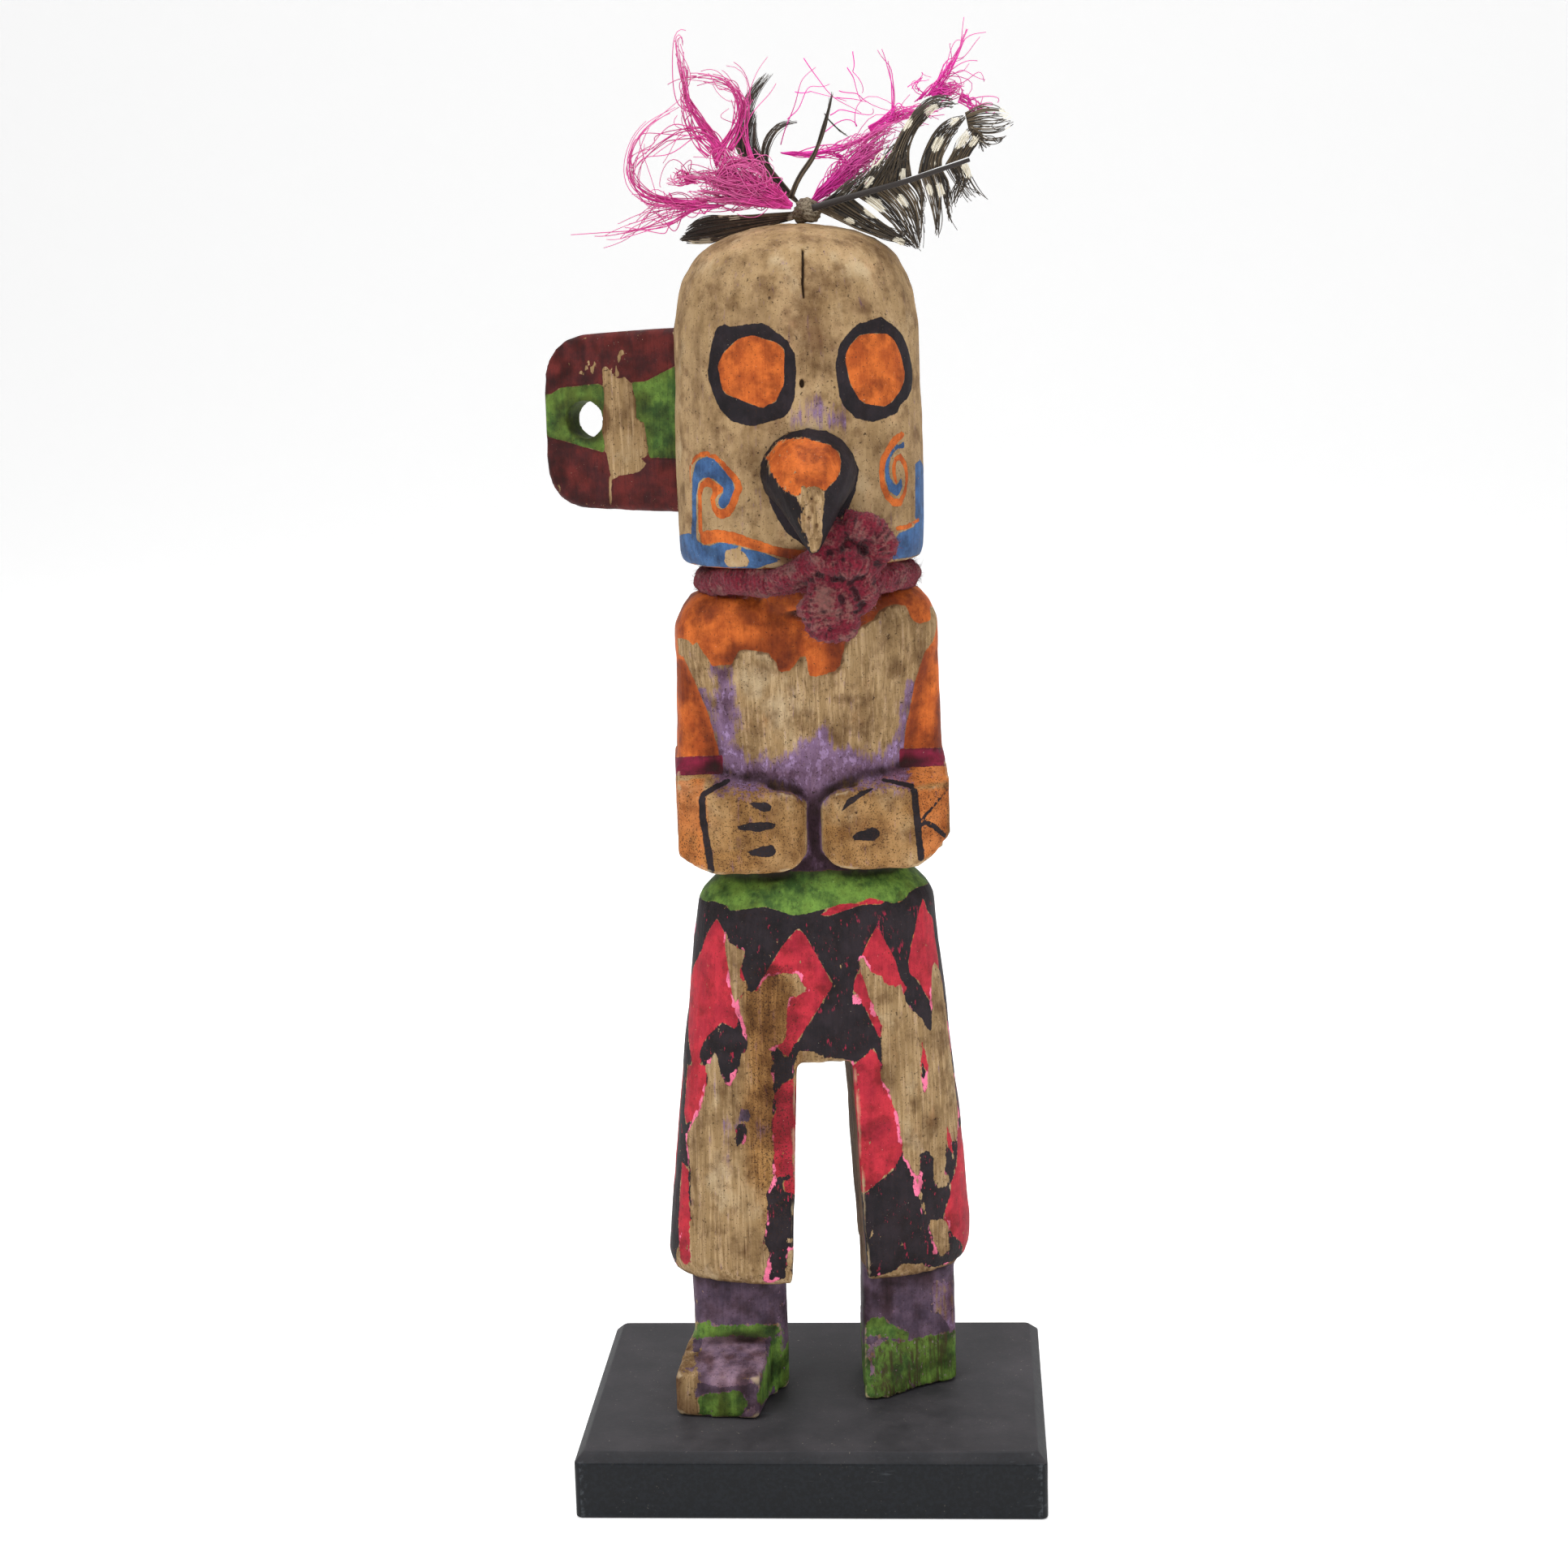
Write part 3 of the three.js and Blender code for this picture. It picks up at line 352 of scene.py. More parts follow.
def dusty_black():
    finish = Finish("dusty_black_plinth_paint")
    edge = finish.attribute("edge")
    dust = finish.grain(14, 5, 0.62)
    fine = finish.grain(0.9, 4, 0.6)
    scuffs = finish.grain(4, 4, 0.7, (6, 1, 1))
    dots = finish.grain(0.6, 2, 0.5)
    normal = finish.node("ShaderNodeNewGeometry").outputs["Normal"]
    facing = finish.node("ShaderNodeSeparateXYZ", None, {0: normal})
    upward = Value(finish, facing.outputs[2]).step(0.5, 0.95)
    colour = finish.blend(tint(9, 12, 16), tint(17, 21, 26), fine.step(0.4, 0.65))
    # Faces turned upwards are lighter: patchy dust over an even painted lightening of the top where light
    # falls on it
    dust_and_top_light = upward * (0.5 + dust.step(0.35, 0.7) * 0.5)
    colour = finish.blend(colour, tint(74, 71, 74), dust_and_top_light * 0.75)
    colour = finish.blend(colour, tint(104, 98, 90), fine.step(0.66, 0.74) * 0.5 * upward)
    colour = finish.blend(colour, tint(72, 76, 80), scuffs.step(0.66, 0.72) * 0.3)
    dotted = dots.step(0.71, 0.74) * dust.step(0.45, 0.6) * (upward * 0.45 + 0.12)
    colour = finish.blend(colour, tint(150, 142, 128), dotted)
    colour = finish.blend(colour, tint(70, 74, 78), (edge * 0.5 + fine).step(0.85, 1.2) * 0.5)
    roughness = 0.48 + dust_and_top_light * 0.25 + (fine - 0.5) * 0.2
    return finish.close(colour, roughness, fine * 0.5 + scuffs * 0.3, 0.05, 0.22)


def crimson_yarn():
    finish = Finish("faded_crimson_yarn")
    fibre = finish.grain(0.5, 5, 0.7)
    patch = finish.grain(3.6, 5, 0.65)
    hollow = finish.attribute("edge")
    ply = finish.attribute("ply") * patch.step(0.4, 0.6) * 0.32 + (fibre - 0.5) * 3
    colour = finish.blend(tint(62, 11, 26), tint(136, 29, 50), ply.step(-0.7, 0.5))
    worn = (patch + fibre * 0.25 + finish.attribute("faded") * 0.12 + ply * 0.06).step(0.62, 0.8)
    colour = finish.blend(colour, tint(140, 104, 94), worn * 0.62)
    colour = finish.blend(colour, tint(180, 70, 98), (ply * 0.3 + fibre).step(0.82, 0.95) * 0.5)
    # Painted shade in the folds and hollows of the yarn
    colour = finish.blend(colour, tint(40, 9, 18), (0.1 - hollow).step(0.1, 1.0) * 0.9)
    return finish.close(colour, 0.95, fibre + ply * 0.2, 0.4, 0.08, 0.15)


def tie_thread():
    finish = Finish("grey_brown_thread")
    fibre = finish.grain(0.4, 4, 0.65)
    colour = finish.blend(tint(84, 74, 62), tint(150, 138, 118), fibre.step(0.35, 0.65))
    # Painted shade in the hollows between the wraps of thread
    colour = finish.blend(colour, tint(46, 38, 30), (0.2 - finish.attribute("edge")).step(0.1, 0.9) * 0.8)
    return finish.close(colour, 0.95, fibre, 0.25, 0.12)


def feather(name, light, dark, tip, spots=None):
    finish = Finish(name)
    along = finish.attribute("along")
    own = finish.attribute("own_tone")
    mottle = finish.grain(1.6, 3, 0.6)
    colour = finish.blend(tint(*dark), tint(*light), (own * 0.8 + mottle * 0.5).step(0.35, 1.05))
    colour = finish.blend(colour, tint(*tip), along.step(0.45, 1.0) * 0.8)
    if spots:
        speckled = finish.attribute("spot") + (mottle - 0.5) * 1.6 + (own - 0.5) * 0.5
        colour = finish.blend(colour, tint(*spots), speckled.step(0.4, 0.6))
    return finish.close(colour, 0.62, mottle, 0.03, 0.35, 0.1)


# Painted outlines, mm. Across is the distance round the piece from the middle of its front, and up
# is the height. A brush stroke has its half width as a third number.
HEAD_PAINT = {
    "eye_left_ring": (
        "-18.4,237.6 -16.6,237.9 -15.8,237.4 -8.8,238.1 -7.4,237.6 -3.4,234.7 -1.6,231.6 -1.5,228.9 "
        "-2,222.6 -3.4,219.8 -4.6,218.9 -11.2,217.3 -15.6,218.2 -18.6,221 -21.5,226.8 -21.6,228.6 "
        "-20.6,233.7 -19.4,236.8"
    ),
    "eye_left": (
        "-17.4,232.2 -14.1,234.8 -12.3,235.4 -10.4,235.7 -7.8,234.8 -5.7,234.2 -4.3,233.2 -3.8,232.3 "
        "-4.1,225.6 -5.9,222.2 -8.8,220.9 -16.8,223.8 -17.8,224.9 -19,229.7"
    ),
    "eye_right_ring": (
        "16.9,238.3 18.3,238.6 24.6,234.8 27.5,230.9 28.6,228.3 28.8,225.6 28.1,223.5 25.9,221.6 "
        "23.3,220.5 22,218.8 15.1,217.3 10.8,218.3 8.3,220.9 7.5,222.6 6.7,229.2 7.7,233.4 10.1,235.8 "
        "12,237.2"
    ),
    "eye_right": (
        "14.8,235.3 19.6,235.1 21.5,233.9 24,230.7 25.3,226.9 24.9,225.1 23.5,223.4 20.1,220.9 "
        "18.2,220.3 13.4,221 11.7,222.1 9.8,225.5 8.8,230.4 9.5,232.5 12.1,235"
    ),
    "beak_outline_on_face": (
        "-9.5,209.4 -8.5,211.5 -5.8,214.6 -0.5,216.5 5.4,214.8 8.3,212.7 9.7,211.6 11.2,207.9 "
        "10.4,203.6 8.8,200.2 3.5,194.1 -0.6,192.4 -4.4,195.5 -7.3,200.4"
    ),
    "chin_band_left": (
        "-40,193.3 -29.8,194.7 -24.9,192.6 -22.5,192.4 -20.3,193.2 -17.9,193.3 -9.1,191.2 -5.8,189.8 "
        "-12.2,187.7 -40.2,188"
    ),
    "chin_bare": (
        "-18.5,191.4 -17.2,192 -15.1,192 -13.6,191.3 -12.7,189.3 -13.8,188.2 -18.3,188.1 -19,189.3 "
        "-18.4,190.4"
    ),
    "temple_blue": (
        "28.6,207.7 31.9,208.5 35.2,207.2 38,205.4 39.6,201.6 41.5,196.4 46,192.8 46,188 23.7,188.4 "
        "20.2,188.4 20,192.3 21.7,193.9 28,194.8"
    ),
    "brown_smudge": "0.6,237.2 2,237.5 3.6,236.8 4.6,234.5 4,232.4 1.8,232.3 0.7,234.3",
    "purple_smudge": (
        "-0.2,222 1.5,223.6 5.2,221 7.9,220.1 8.6,217.6 6.4,216.1 3,217.5 0.5,216.3 -2,217.7 "
        "-1.6,219.9"
    ),
    "orange_smudge": "11.3,241.8 13.7,242.3 16.2,241 15.4,239.3 12.4,239.1 10.7,240.3",
}
HEAD_STROKES = {
    "hook_left_blue": (
        "-28.4,192.2,1 -27.4,197.7,0.9 -27.2,202.8,0.8 -26.3,206.3,1.2 -24.4,208.4,2 -22,208.9,2.1 "
        "-19.8,208.2,2 -17.9,206.5,1.6 -16.7,204.7,1.3 -17.2,202.9,1.3 -18.5,201.5,1.1"
    ),
    "hook_left_orange": (
        "-28.5,205.5,0.2 -28.4,208.5,0.3 -26.8,210.3,0.5 -24.8,211.3,0.5 -22.4,211.6,0.5 "
        "-20.2,211,0.5 -18.2,209.6,0.6 -14.8,206.1,0.7 -14.5,204.6,0.8 -16.1,201,0.8 -17.5,199.5,0.9 "
        "-19.5,199.2,0.9 -20.7,200.4,0.7 -21.2,202.3,0.5 -19.9,204.1,0.9"
    ),
    "hook_left_inner": "-25.3,195.3,0.6 -25.1,203.3,0.6 -24,205.2,0.7 -22.1,205.8,0.9 -18.8,204.3,0.7",
    "cheek_line": (
        "-24.2,194,1.4 -20,194.7,1.3 -15.8,194.3,1.2 -6.1,191.5,0.9 -1.9,190.7,1.1 2.4,190.6,0.9"
    ),
    "hook_right_orange": (
        "23.6,214.2,0.7 21,213.3,0.9 19.2,211.7,0.8 17.4,209.5,0.8 16.8,207.2,0.7 17,204.5,0.7 "
        "18.1,201.9,0.7 20,200.5,0.8 21.9,200.3,0.8 23.7,201.8,0.6 24.6,203.8,0.4 24.8,205.8,0.5 "
        "24.1,208.1,0.7 22.7,209.7,0.6 21.1,209.5,0.5 20.4,207.8,0.5 20.4,206,0.5 21.1,204.6,0.4"
    ),
    "hook_right_blue": (
        "23.8,212.1,0.6 21.6,211.9,0.4 20.2,211,0.4 18.9,209.4,0.5 18.3,207.5,0.5 18.6,205.4,0.7 "
        "19.6,203.5,0.9 21,202.7,1.1 22.2,203.7,0.8 22.6,205.1,0.3"
    ),
    "temple_line": "20.9,195,0.4 23.7,194.9,0.5 30.2,196,0.4",
    "head_crack": "1,252.4,0.2 0.4,245.6,0.2 0.5,242.9,0.1",
}
BEAK_PAINT = {
    "beak_orange": (
        "-8.6,211.1 -6,214.2 -3.9,215 -0.7,215.1 4.6,213.4 6,212 6.5,210.2 6.1,208.2 5.1,206.7 "
        "3.5,205.5 2.8,204.7 0.3,205.6 -1.5,205.2 -1.7,204.1 -2.9,203.7 -4.3,204.2 -5.6,204.9 "
        "-6.9,206.5 -7.8,208"
    ),
    "beak_bare": (
        "-1.6,205.7 0.5,205.8 2.8,204.9 2,199.1 2,194.8 0.7,192.2 -0.1,192.1 -2.4,197.9 -2.5,200 "
        "-1.8,201.4 -3.3,203.7"
    ),
}
BODY_PAINT = {
    "yoke": (
        "-33,181 -33,171.5 -26.6,170.6 -25.5,170.1 -24.5,168.7 -23.7,169.5 -20.6,164.3 -16.6,164.2 "
        "-15.2,167.2 -13.6,167.5 -8.4,166.5 -8.2,165.5 -7.2,164.6 -6.8,162.9 -6.1,162.4 -4.3,162.6 "
        "-1.7,165.8 -0.8,165.6 -0.3,161.3 1.3,161.1 5.3,162.2 6.3,163.3 7.7,168.6 8.5,169.6 9.7,170.8 "
        "13.7,173 14.8,174.7 16.3,175.5 18.2,176.2 20.8,175.8 22.3,172.4 24,171.8 26.3,172.8 "
        "26.3,180.5"
    ),
    "lilac_left": (
        "-21.1,164.4 -16.6,164.1 -16.9,160.9 -16.1,158.4 -15.7,152.5 -16,148.4 -16.8,147.8 "
        "-14.6,145.8 -12.9,142.2 -14.1,139.3 -16.7,138.7 -18.8,141.6 -20.4,152.2 -20.3,157.1 "
        "-19.3,159.8"
    ),
    "lilac_middle": (
        "2.3,151.1 3.8,149.5 4.8,146 8.6,145.7 11.7,142.7 15.3,144 19.5,149 18.6,153.7 19.8,155.6 "
        "20.6,150.7 19.8,145.1 17.4,142.2 10.3,140.7 6.1,139.6 4.8,135.8 1.8,133.4 -3,134.8 "
        "-6.3,138.3 -10.6,140.2 -13.2,140.8 -7.6,142.7 -3.5,145.6 -1.7,147.6 0.7,148.9"
    ),
    "dark_under_yoke": "-21.1,164.5 -16.5,164.3 -16.7,161.9 -18.1,160.4 -19.3,160.8",
    "band_left": "-28.7,145.4 -19.4,144.9 -19.3,141.6 -28.9,140.7",
    "band_right": "18.7,141.8 20.3,143.3 22.4,144.2 29.3,144.4 29.3,140.7",
    "forearm_orange": "15.5,140.6 19.4,141.5 29,140.9 29.3,137.8 21.3,136.7 14.1,138.9",
    "elbow_orange": "22.2,135.8 29.2,135.9 28.2,124.8 25.3,121.9 22.9,120.6",
    "dash_l1": "-14.3,134.1 -13,134.6 -10.2,134.4 -9,133.5 -9.4,132.3 -10.8,132.4",
    "dash_l2": "-18.1,129.1 -13.6,130.1 -10.7,130.2 -8.3,129.7 -8.5,128.8 -12,128.1",
    "dash_l3": "-15.4,123.5 -10.8,125.1 -9.2,125.1 -8.4,124 -8.8,122.8 -10.5,122.5",
    "dash_r1": "5.7,131.8 7.4,134.8 8.4,134.9 9.7,136.1 13.1,136.9",
    "dash_r2": "7.8,126.3 8.8,127.1 12.6,128.3 14.4,126.5 12.3,125.2 8.2,125.6",
}
BOOT_PAINT = {
    "boot_green_band": (
        "-29.2,15.4 -25.5,16.4 -25.3,15 -10.1,14.7 -10,12.9 -13.4,11.6 -18.6,12.4 -25.6,12.6 "
        "-29.8,12.1"
    ),
    "boot_mauve": (
        "-27.8,12.7 -21.4,12.5 -13.9,11.4 -13.8,8.4 -15.4,5.3 -18.4,4.3 -23.5,3.5 -30.7,5 -30.5,8.1 "
        "-28.3,9.9 -27.6,11.2"
    ),
    "toe_green": "-29.8,0.6 -27.4,2 -20.1,2.7 -18.7,1.1 -18.4,-0.6 -20.4,-3.8 -32.2,-2.6 -32.7,-1.9",
    "toe_lilac": "-20.1,-3 -17,-1.1 -16.9,-4.1 -19.7,-4.1",
    "toe_lilac_2": "-30.8,1.9 -29.7,2.5 -29.9,0.2 -30.9,-1.5 -31.2,0.4",
    "boot_inner_green": "-15.9,2.9 -12.3,11 -9.8,12.7 -10,8.3 -11.3,3.3 -13.3,-1.4 -15.1,-1 -16.2,0.2",
    "ankle_bare": "24.6,23.2 24.7,16.3 26,15.6 28.5,11.1 29.6,11.3 29,23",
    "boot_right_green": "9.4,14 11.6,15.5 13.7,14.8 14.5,13.7 18.8,11.5 18.3,10 10,11.4 8.8,10.6",
    "boot_right_mauve": "9,7.9 12.2,10.8 12.8,9.5 11,8.9 8.8,6.6",
    "break_face": "11.7,8.7 13.6,10 18.4,9.7 29.7,11.1 28,-0.9 9.6,-3.5",
    "break_side_green": "9,5.5 9.7,8.8 9.4,0.6 9.6,-3.5 7.9,-3.4",
    "break_sliver": "9.8,8.1 11,9.1 10.5,1.8 9.7,0.1",
}
BODY_LINES = {
    "chest_left": "-27.6,167.2 -26.8,167 -21.9,154.5 -20.1,147.8 -19.5,142.8",
    "chest_right": "27.9,171.6 26.6,167.9 24.8,165.8 22.5,159.6 20.3,148.8 19.8,141.4",
}
BODY_STROKES = {
    "wrist_left": "-23.7,135.9,0.7 -23.8,131.9,0.7 -22.3,120,0.7",
    "wrist_left_top": "-23.4,136.8,0.6 -18.1,139.4,0.5",
    "wrist_right": "21.4,135.8,0.7 22.6,120.9,0.7",
    "wrist_right_top": "14.9,138.5,0.4 21.1,136.8,0.5",
    "elbow_mark": "23.1,129.1,0.5 25.6,127.9,0.6 28,125.7,0.4",
    "elbow_mark_2": "23.3,130.1,0.3 28.8,135.6,0.2",
}
KILT_PAINT = {
    "red_under_green": (
        "0.6,112.4 3.6,114.5 12.1,115.2 14.6,116.1 16.5,115 15.5,113.9 10.3,114.2 2.5,112.2"
    ),
    "diamond_1": (
        "-25.5,111.2 -23.3,109.3 -20.8,106.1 -18.1,105.4 -17.6,100.7 -16,96.2 -17.4,94.9 -18.2,92.3 "
        "-18.8,87 -22.9,88.2 -27,84.4 -28.2,82.6 -29.2,80.2 -27.9,78.3 -31.6,77.6 -39,90.9 -37.5,96.6 "
        "-30.9,103.6 -28.9,107.3"
    ),
    "diamond_2": (
        "-4.3,109.9 -2.7,108.3 3.2,97 -6.3,82.7 -7.4,80.7 -8.8,82.7 -10.9,83.9 -14.5,88.9 -16,95.1 "
        "-14.5,95.9 -7.5,106.5"
    ),
    "diamond_3": (
        "13.4,109.5 17.9,101.1 19.1,96.7 20.7,94.8 13.7,86.9 13.4,84 12.6,85.3 10.5,90.3 7.6,95.2 "
        "7.5,96.9 8.9,100.3 9.1,102.4"
    ),
    "diamond_4": (
        "28.2,114 29.1,110.6 32.4,108.3 33,99.3 32.4,91.1 27.3,90.4 25.3,92.3 24.5,94.6 23,96.6 "
        "21.4,97.7 21.2,100.3 22.1,103.6 25.4,110.9"
    ),
    "leg_left_red": (
        "-10.6,72.8 -9.5,74.2 -7.7,76.3 -5.3,77.4 -2,77.4 -2,54.6 -7,54.9 -8.3,54.2 -10.8,54 "
        "-10.9,60.6 -11.1,67.2 -10,69.4"
    ),
    "leg_left_black": (
        "-11.2,82.9 -9.3,83.3 -8.4,82.1 -7.4,80.8 -6.1,82 -2,81.8 -2,76.9 -5.3,76.9 -8.2,75.5 "
        "-9.9,74.7 -10.5,76.4 -10.9,78.1 -10.6,80.8"
    ),
    "leg_left_low": (
        "-11.3,51.8 -10,53.3 -8.8,53.1 -8.8,50.9 -6.9,50 -2,50 -2,44.7 -8.1,44.7 -9,42.9 -9.1,40.8 "
        "-7.4,38.4 -2,38 -2,29.5 -11.4,29.5 -12.1,31.1 -13.8,31.6 -13,34 -12.1,36.7 -13.3,38.9 "
        "-13.5,40.7 -12.8,42.3 -10.6,42.9 -11.4,44.7 -12.9,46.5 -12.4,49.1 -12.8,50"
    ),
    "leg_left_low_red": "-9,53.1 -6.6,54.7 -2,54.7 -2,49.5 -6.9,50 -8.8,50.9",
    "drip_left": (
        "-27,84.4 -22.6,88.4 -18.8,87 -18.1,90.4 -16.8,87.9 -16.1,83.6 -17.7,81.8 -19.6,75.2 -21,74.2 "
        "-22.2,75.9 -23.2,78 -23.5,80.1 -24.6,81.7 -25.6,78.9 -27,78.6 -28.2,79.3 -29.1,80.6"
    ),
    "edge_left_red": "-33.7,77.1 -27,78.4 -26.3,75.2 -28.1,68 -30,65.4 -32.5,63.9 -34.1,66.2",
    "edge_left_red_low": "-33.8,55.2 -31.1,54 -29.9,43.2 -29.6,32.7 -32,31.6 -33.6,42.2",
    "spot_left": "-18.9,65.7 -16.9,66.2 -16.5,64.8 -17.3,61.4 -19,61.1 -19.3,63.1",
    "spot_left_purple": "-18.1,69.4 -16.3,69.3 -15.5,67.4 -16.7,66.2 -18.4,66.9",
    "bare_left": (
        "-16,95.9 -14.4,95.7 -11.6,99 -7.6,99.9 -4.6,99.6 -2.6,96.1 -4.3,94.9 -6.4,94.5 -7,92.4 "
        "-7.5,85.9 -8.8,84.2 -11.2,83.1 -10.6,80.8 -10.9,78.1 -10.5,76.4 -11.1,67.2 -11,54 -12.6,50.1 "
        "-12.7,43.9 -13.5,40.8 -13.3,38.9 -12.1,36.7 -14.7,29.3 -28.6,25.2 -36.9,26.5 -29.7,43.2 "
        "-30.6,54.2 -32.2,61.2 -28.1,68 -26.3,75.2 -27,78.4 -25.6,79 -24.6,81.7 -23.5,80.1 -23.2,78 "
        "-22.2,75.9 -21,74.2 -19.6,75.2 -17.7,81.5 -16.1,83.6 -16.8,87.9 -18.1,90.9 -18.4,93.9"
    ),
    "bare_d1": (
        "-21.7,108.2 -20.9,106.1 -16.7,104.6 -16.8,103.2 -17.8,101.3 -18,98.6 -16.8,97.4 -16.4,95.6 "
        "-19.4,93.1 -20.6,96.7 -22.3,106.4"
    ),
    "bare_right": (
        "9.1,102.5 9.8,102.7 11.6,99.4 14.1,98.1 15.2,96.1 17.7,95.5 18.8,95.8 20.1,91.4 24.4,86.8 "
        "25.7,84.4 26.9,84.2 28.6,96.5 30.6,99 33.5,95.4 34.3,90.7 34.7,63.5 32,57.7 28.3,57.8 "
        "27.6,52.4 28.6,48 25.7,48.4 24.6,50.7 24.7,55.5 23.4,57.5 21.5,57 21.7,53.7 20.6,51.1 "
        "19.7,53.8 17.9,56.9 16.4,67.9 14.6,73 13.1,75.2 13.7,86.9 8.9,100.4"
    ),
    "bare_d3_left": "7.4,95.4 8.3,95 8.7,93.3 7.9,93.6",
    "leg_right_red": (
        "11.4,82.6 12.4,81 13.2,78.8 13.1,75.2 14.5,72.9 15.1,70.7 16.4,67.9 17.2,63.4 17.7,58.9 "
        "17.4,57.1 15.6,54.8 13.4,53 11.1,51.2 8,49 2,46 2,78.6 7,78.9 9.7,80.8"
    ),
    "leg_right_low": (
        "2,46 8,49 11.1,51.1 15.6,54.6 17.9,56.9 19.7,53.7 20.3,51.5 20.9,50.5 21.6,51.8 21.4,57 "
        "23.4,57.5 24.7,55.5 24.6,50.7 25.7,48.4 27.8,48.5 28.8,46.5 27.5,43.7 25.4,42 23.4,41.5 "
        "23.3,39.3 24.4,35.5 26,32.3 28.3,33.5 28.3,35.8 29.9,35.8 31.3,32.6 31.5,30.2 28.5,29.8 "
        "23.5,30.5 22,32.1 16.9,32.7 16,30.9 12.2,30.3 9.7,30.6 2,30"
    ),
    "sliver_right": "23.7,82.1 24.9,76.8 24.1,71.8 23.5,70.6 22.6,74.1",
    "sliver_right_black": "23.3,77.4 24.1,75.4 24.1,72.1 23.4,71 22.8,73.8",
    "edge_right_black": "28.3,57.8 30.2,55.1 30.4,50.9 28.7,48.3 27.9,52.5",
    "edge_right_red": (
        "29,62.5 29.9,59.7 30.6,55.4 30.8,50.8 33.2,60 45,60 45,29 35,29.5 31.4,34.4 28.8,36.6 "
        "27.8,39.1 26.4,40.8 27.5,43.7 28.8,46.5 28.7,49.7 28.8,55.9"
    ),
    "bare_low_right": "23.4,41.6 26.3,41.1 27.9,39.2 28.3,33.5 26.1,32.2 24.4,35.5 23.3,39.3",
    "tooth_right_black": (
        "18.8,98.9 23.2,96.1 27.3,90.4 26.9,84.2 25.7,84.4 24.4,86.8 20.1,91.4 19.4,93.2 20.7,94.8 "
        "19.1,96.7"
    ),
    "crotch_bare": "-6,79 -5,82.7 -1.6,82.3 0.5,81.1 5,80.3 6.6,79.4 5,77 -5.6,77",
    "hem_bare_right": (
        "11.5,29.7 16.1,30.7 16.9,32.4 21.9,31.8 23.7,30.2 28.8,28.8 33,25.9 30.5,24.7 26,24.8"
    ),
    "hem_bare_left": "-13,29.4 -9.3,30.8 -8.3,37.2 -7.1,37.2 -8.2,29.3 -24.7,24.7",
}
KILT_STROKES = {
    "drip_left_red": "-20,82.6,0.3 -20.4,81.3,0.3 -19.8,79.5,0.3",
    "slit_right": "20.8,51,0.3 22.3,42.9,0.2",
}
EAR_PAINT = {
    "ear_green_right": (
        "-36.8,225.7 -33.5,225.8 -26.1,229.2 -26.9,209.3 -33,209.6 -33.7,211.9 -34.2,217.2 "
        "-35.9,217.8 -35.9,222.4"
    ),
    "ear_green_left": (
        "-57.2,223.2 -55.3,223.5 -53.4,224.7 -44.4,225.5 -42.9,224.8 -43.3,212.9 -43.7,210.7 "
        "-57.4,214.5"
    ),
    "ear_bare": (
        "-43.4,229 -42.3,229.2 -40,226.5 -38.1,226.8 -36.6,225.4 -36.6,223.6 -35.8,222.1 -36.3,218.4 "
        "-34.2,216.9 -33.3,211.4 -33.6,209.9 -35.1,209.3 -33.9,208.1 -35.8,206.4 -40.6,205.5 "
        "-42.2,204.7 -44,215.5 -43,223.1"
    ),
    "ear_flecks": "-39,233.7 -36.2,228 -37.8,226.8 -39.7,226.3 -41.1,228.6",
    "ear_flecks_left": "-49.3,230.1 -47,230.7 -44.2,230.2 -44.1,228.1 -47.2,227.1 -49,227.8",
}
GREEN_EDGE = (
    "-39.1,113.9 -31.4,114 -27.8,114.6 -22.9,114.1 -21.3,113.1 -12.2,114.4 -8.7,113.6 -6,112.6 "
    "-3.4,112.6 5.9,114.6 9,114.5 13.1,115.4 18.4,113.7 21.5,114.1 24.4,115.4 28,115.9 39,115.3"
)
EAR_STRIP = "-42.5,205,0.3 -42.6,199.7,0.3"

# Strands of the knot in world mm, each with its half widths along it, its twist and its squash
KNOT_STRANDS = {
    "rise": (
        "-4.3,-21,199.6 0.7,-23.5,201.3 4.8,-25.5,203.7 7.6,-26.5,206.7 9.4,-26.5,210 11.4,-26,212.6",
        (2.4, 3.0, 3.4, 3.3, 2.6), 0, 0.9,
    ),
    "upper_right": (
        "11.5,-26,212.6 14.8,-27,211.8 17.8,-27,210.2 19.2,-26.5,207.9 18.6,-25.5,205.6 15.5,-24.5,204.6",
        (2.4, 3.2, 3.4, 3.2, 2.6), 2, 0.9,
    ),
    "filling": (
        "10.2,-24.5,205.2 13.2,-25.3,207 15.4,-25.2,208.4 15.2,-24.6,210.4",
        (2.6, 3.0, 2.8, 2.4), 1, 0.9,
    ),
    "crossing": (
        "6.5,-26.5,204.4 9.6,-28,204.2 12.6,-28.5,204.4 15.4,-27.5,203.3 17.2,-25,201.2",
        (2.2, 2.9, 3.0, 2.7, 2.2), 1, 0.9,
    ),
    "lower_loop": (
        "9.8,-26,201.4 6.9,-27.6,199.3 5.6,-28,196.2 5.4,-27.6,193.4 7.2,-27,191.4 9.6,-26.6,191 "
        "11.3,-26.6,192.5 12,-27,195.5 11.4,-27.2,198.6 10.2,-27,200.6",
        (2.4, 3.0, 3.3, 3.4, 3.4, 3.2, 2.8, 2.4), 1, 0.95,
    ),
    "lower_fill": ("8.6,-27.5,198.6 8.6,-27.5,191.8", (2.6, 3.6, 3.2), 0, 0.9),
    "right_loop": (
        "13.2,-26.5,202 15.4,-26.6,199.8 16,-25.8,197 14.4,-24.8,195.2 12.6,-25,196.4",
        (2.2, 2.8, 2.9, 2.5, 2.0), 2, 0.95,
    ),
}

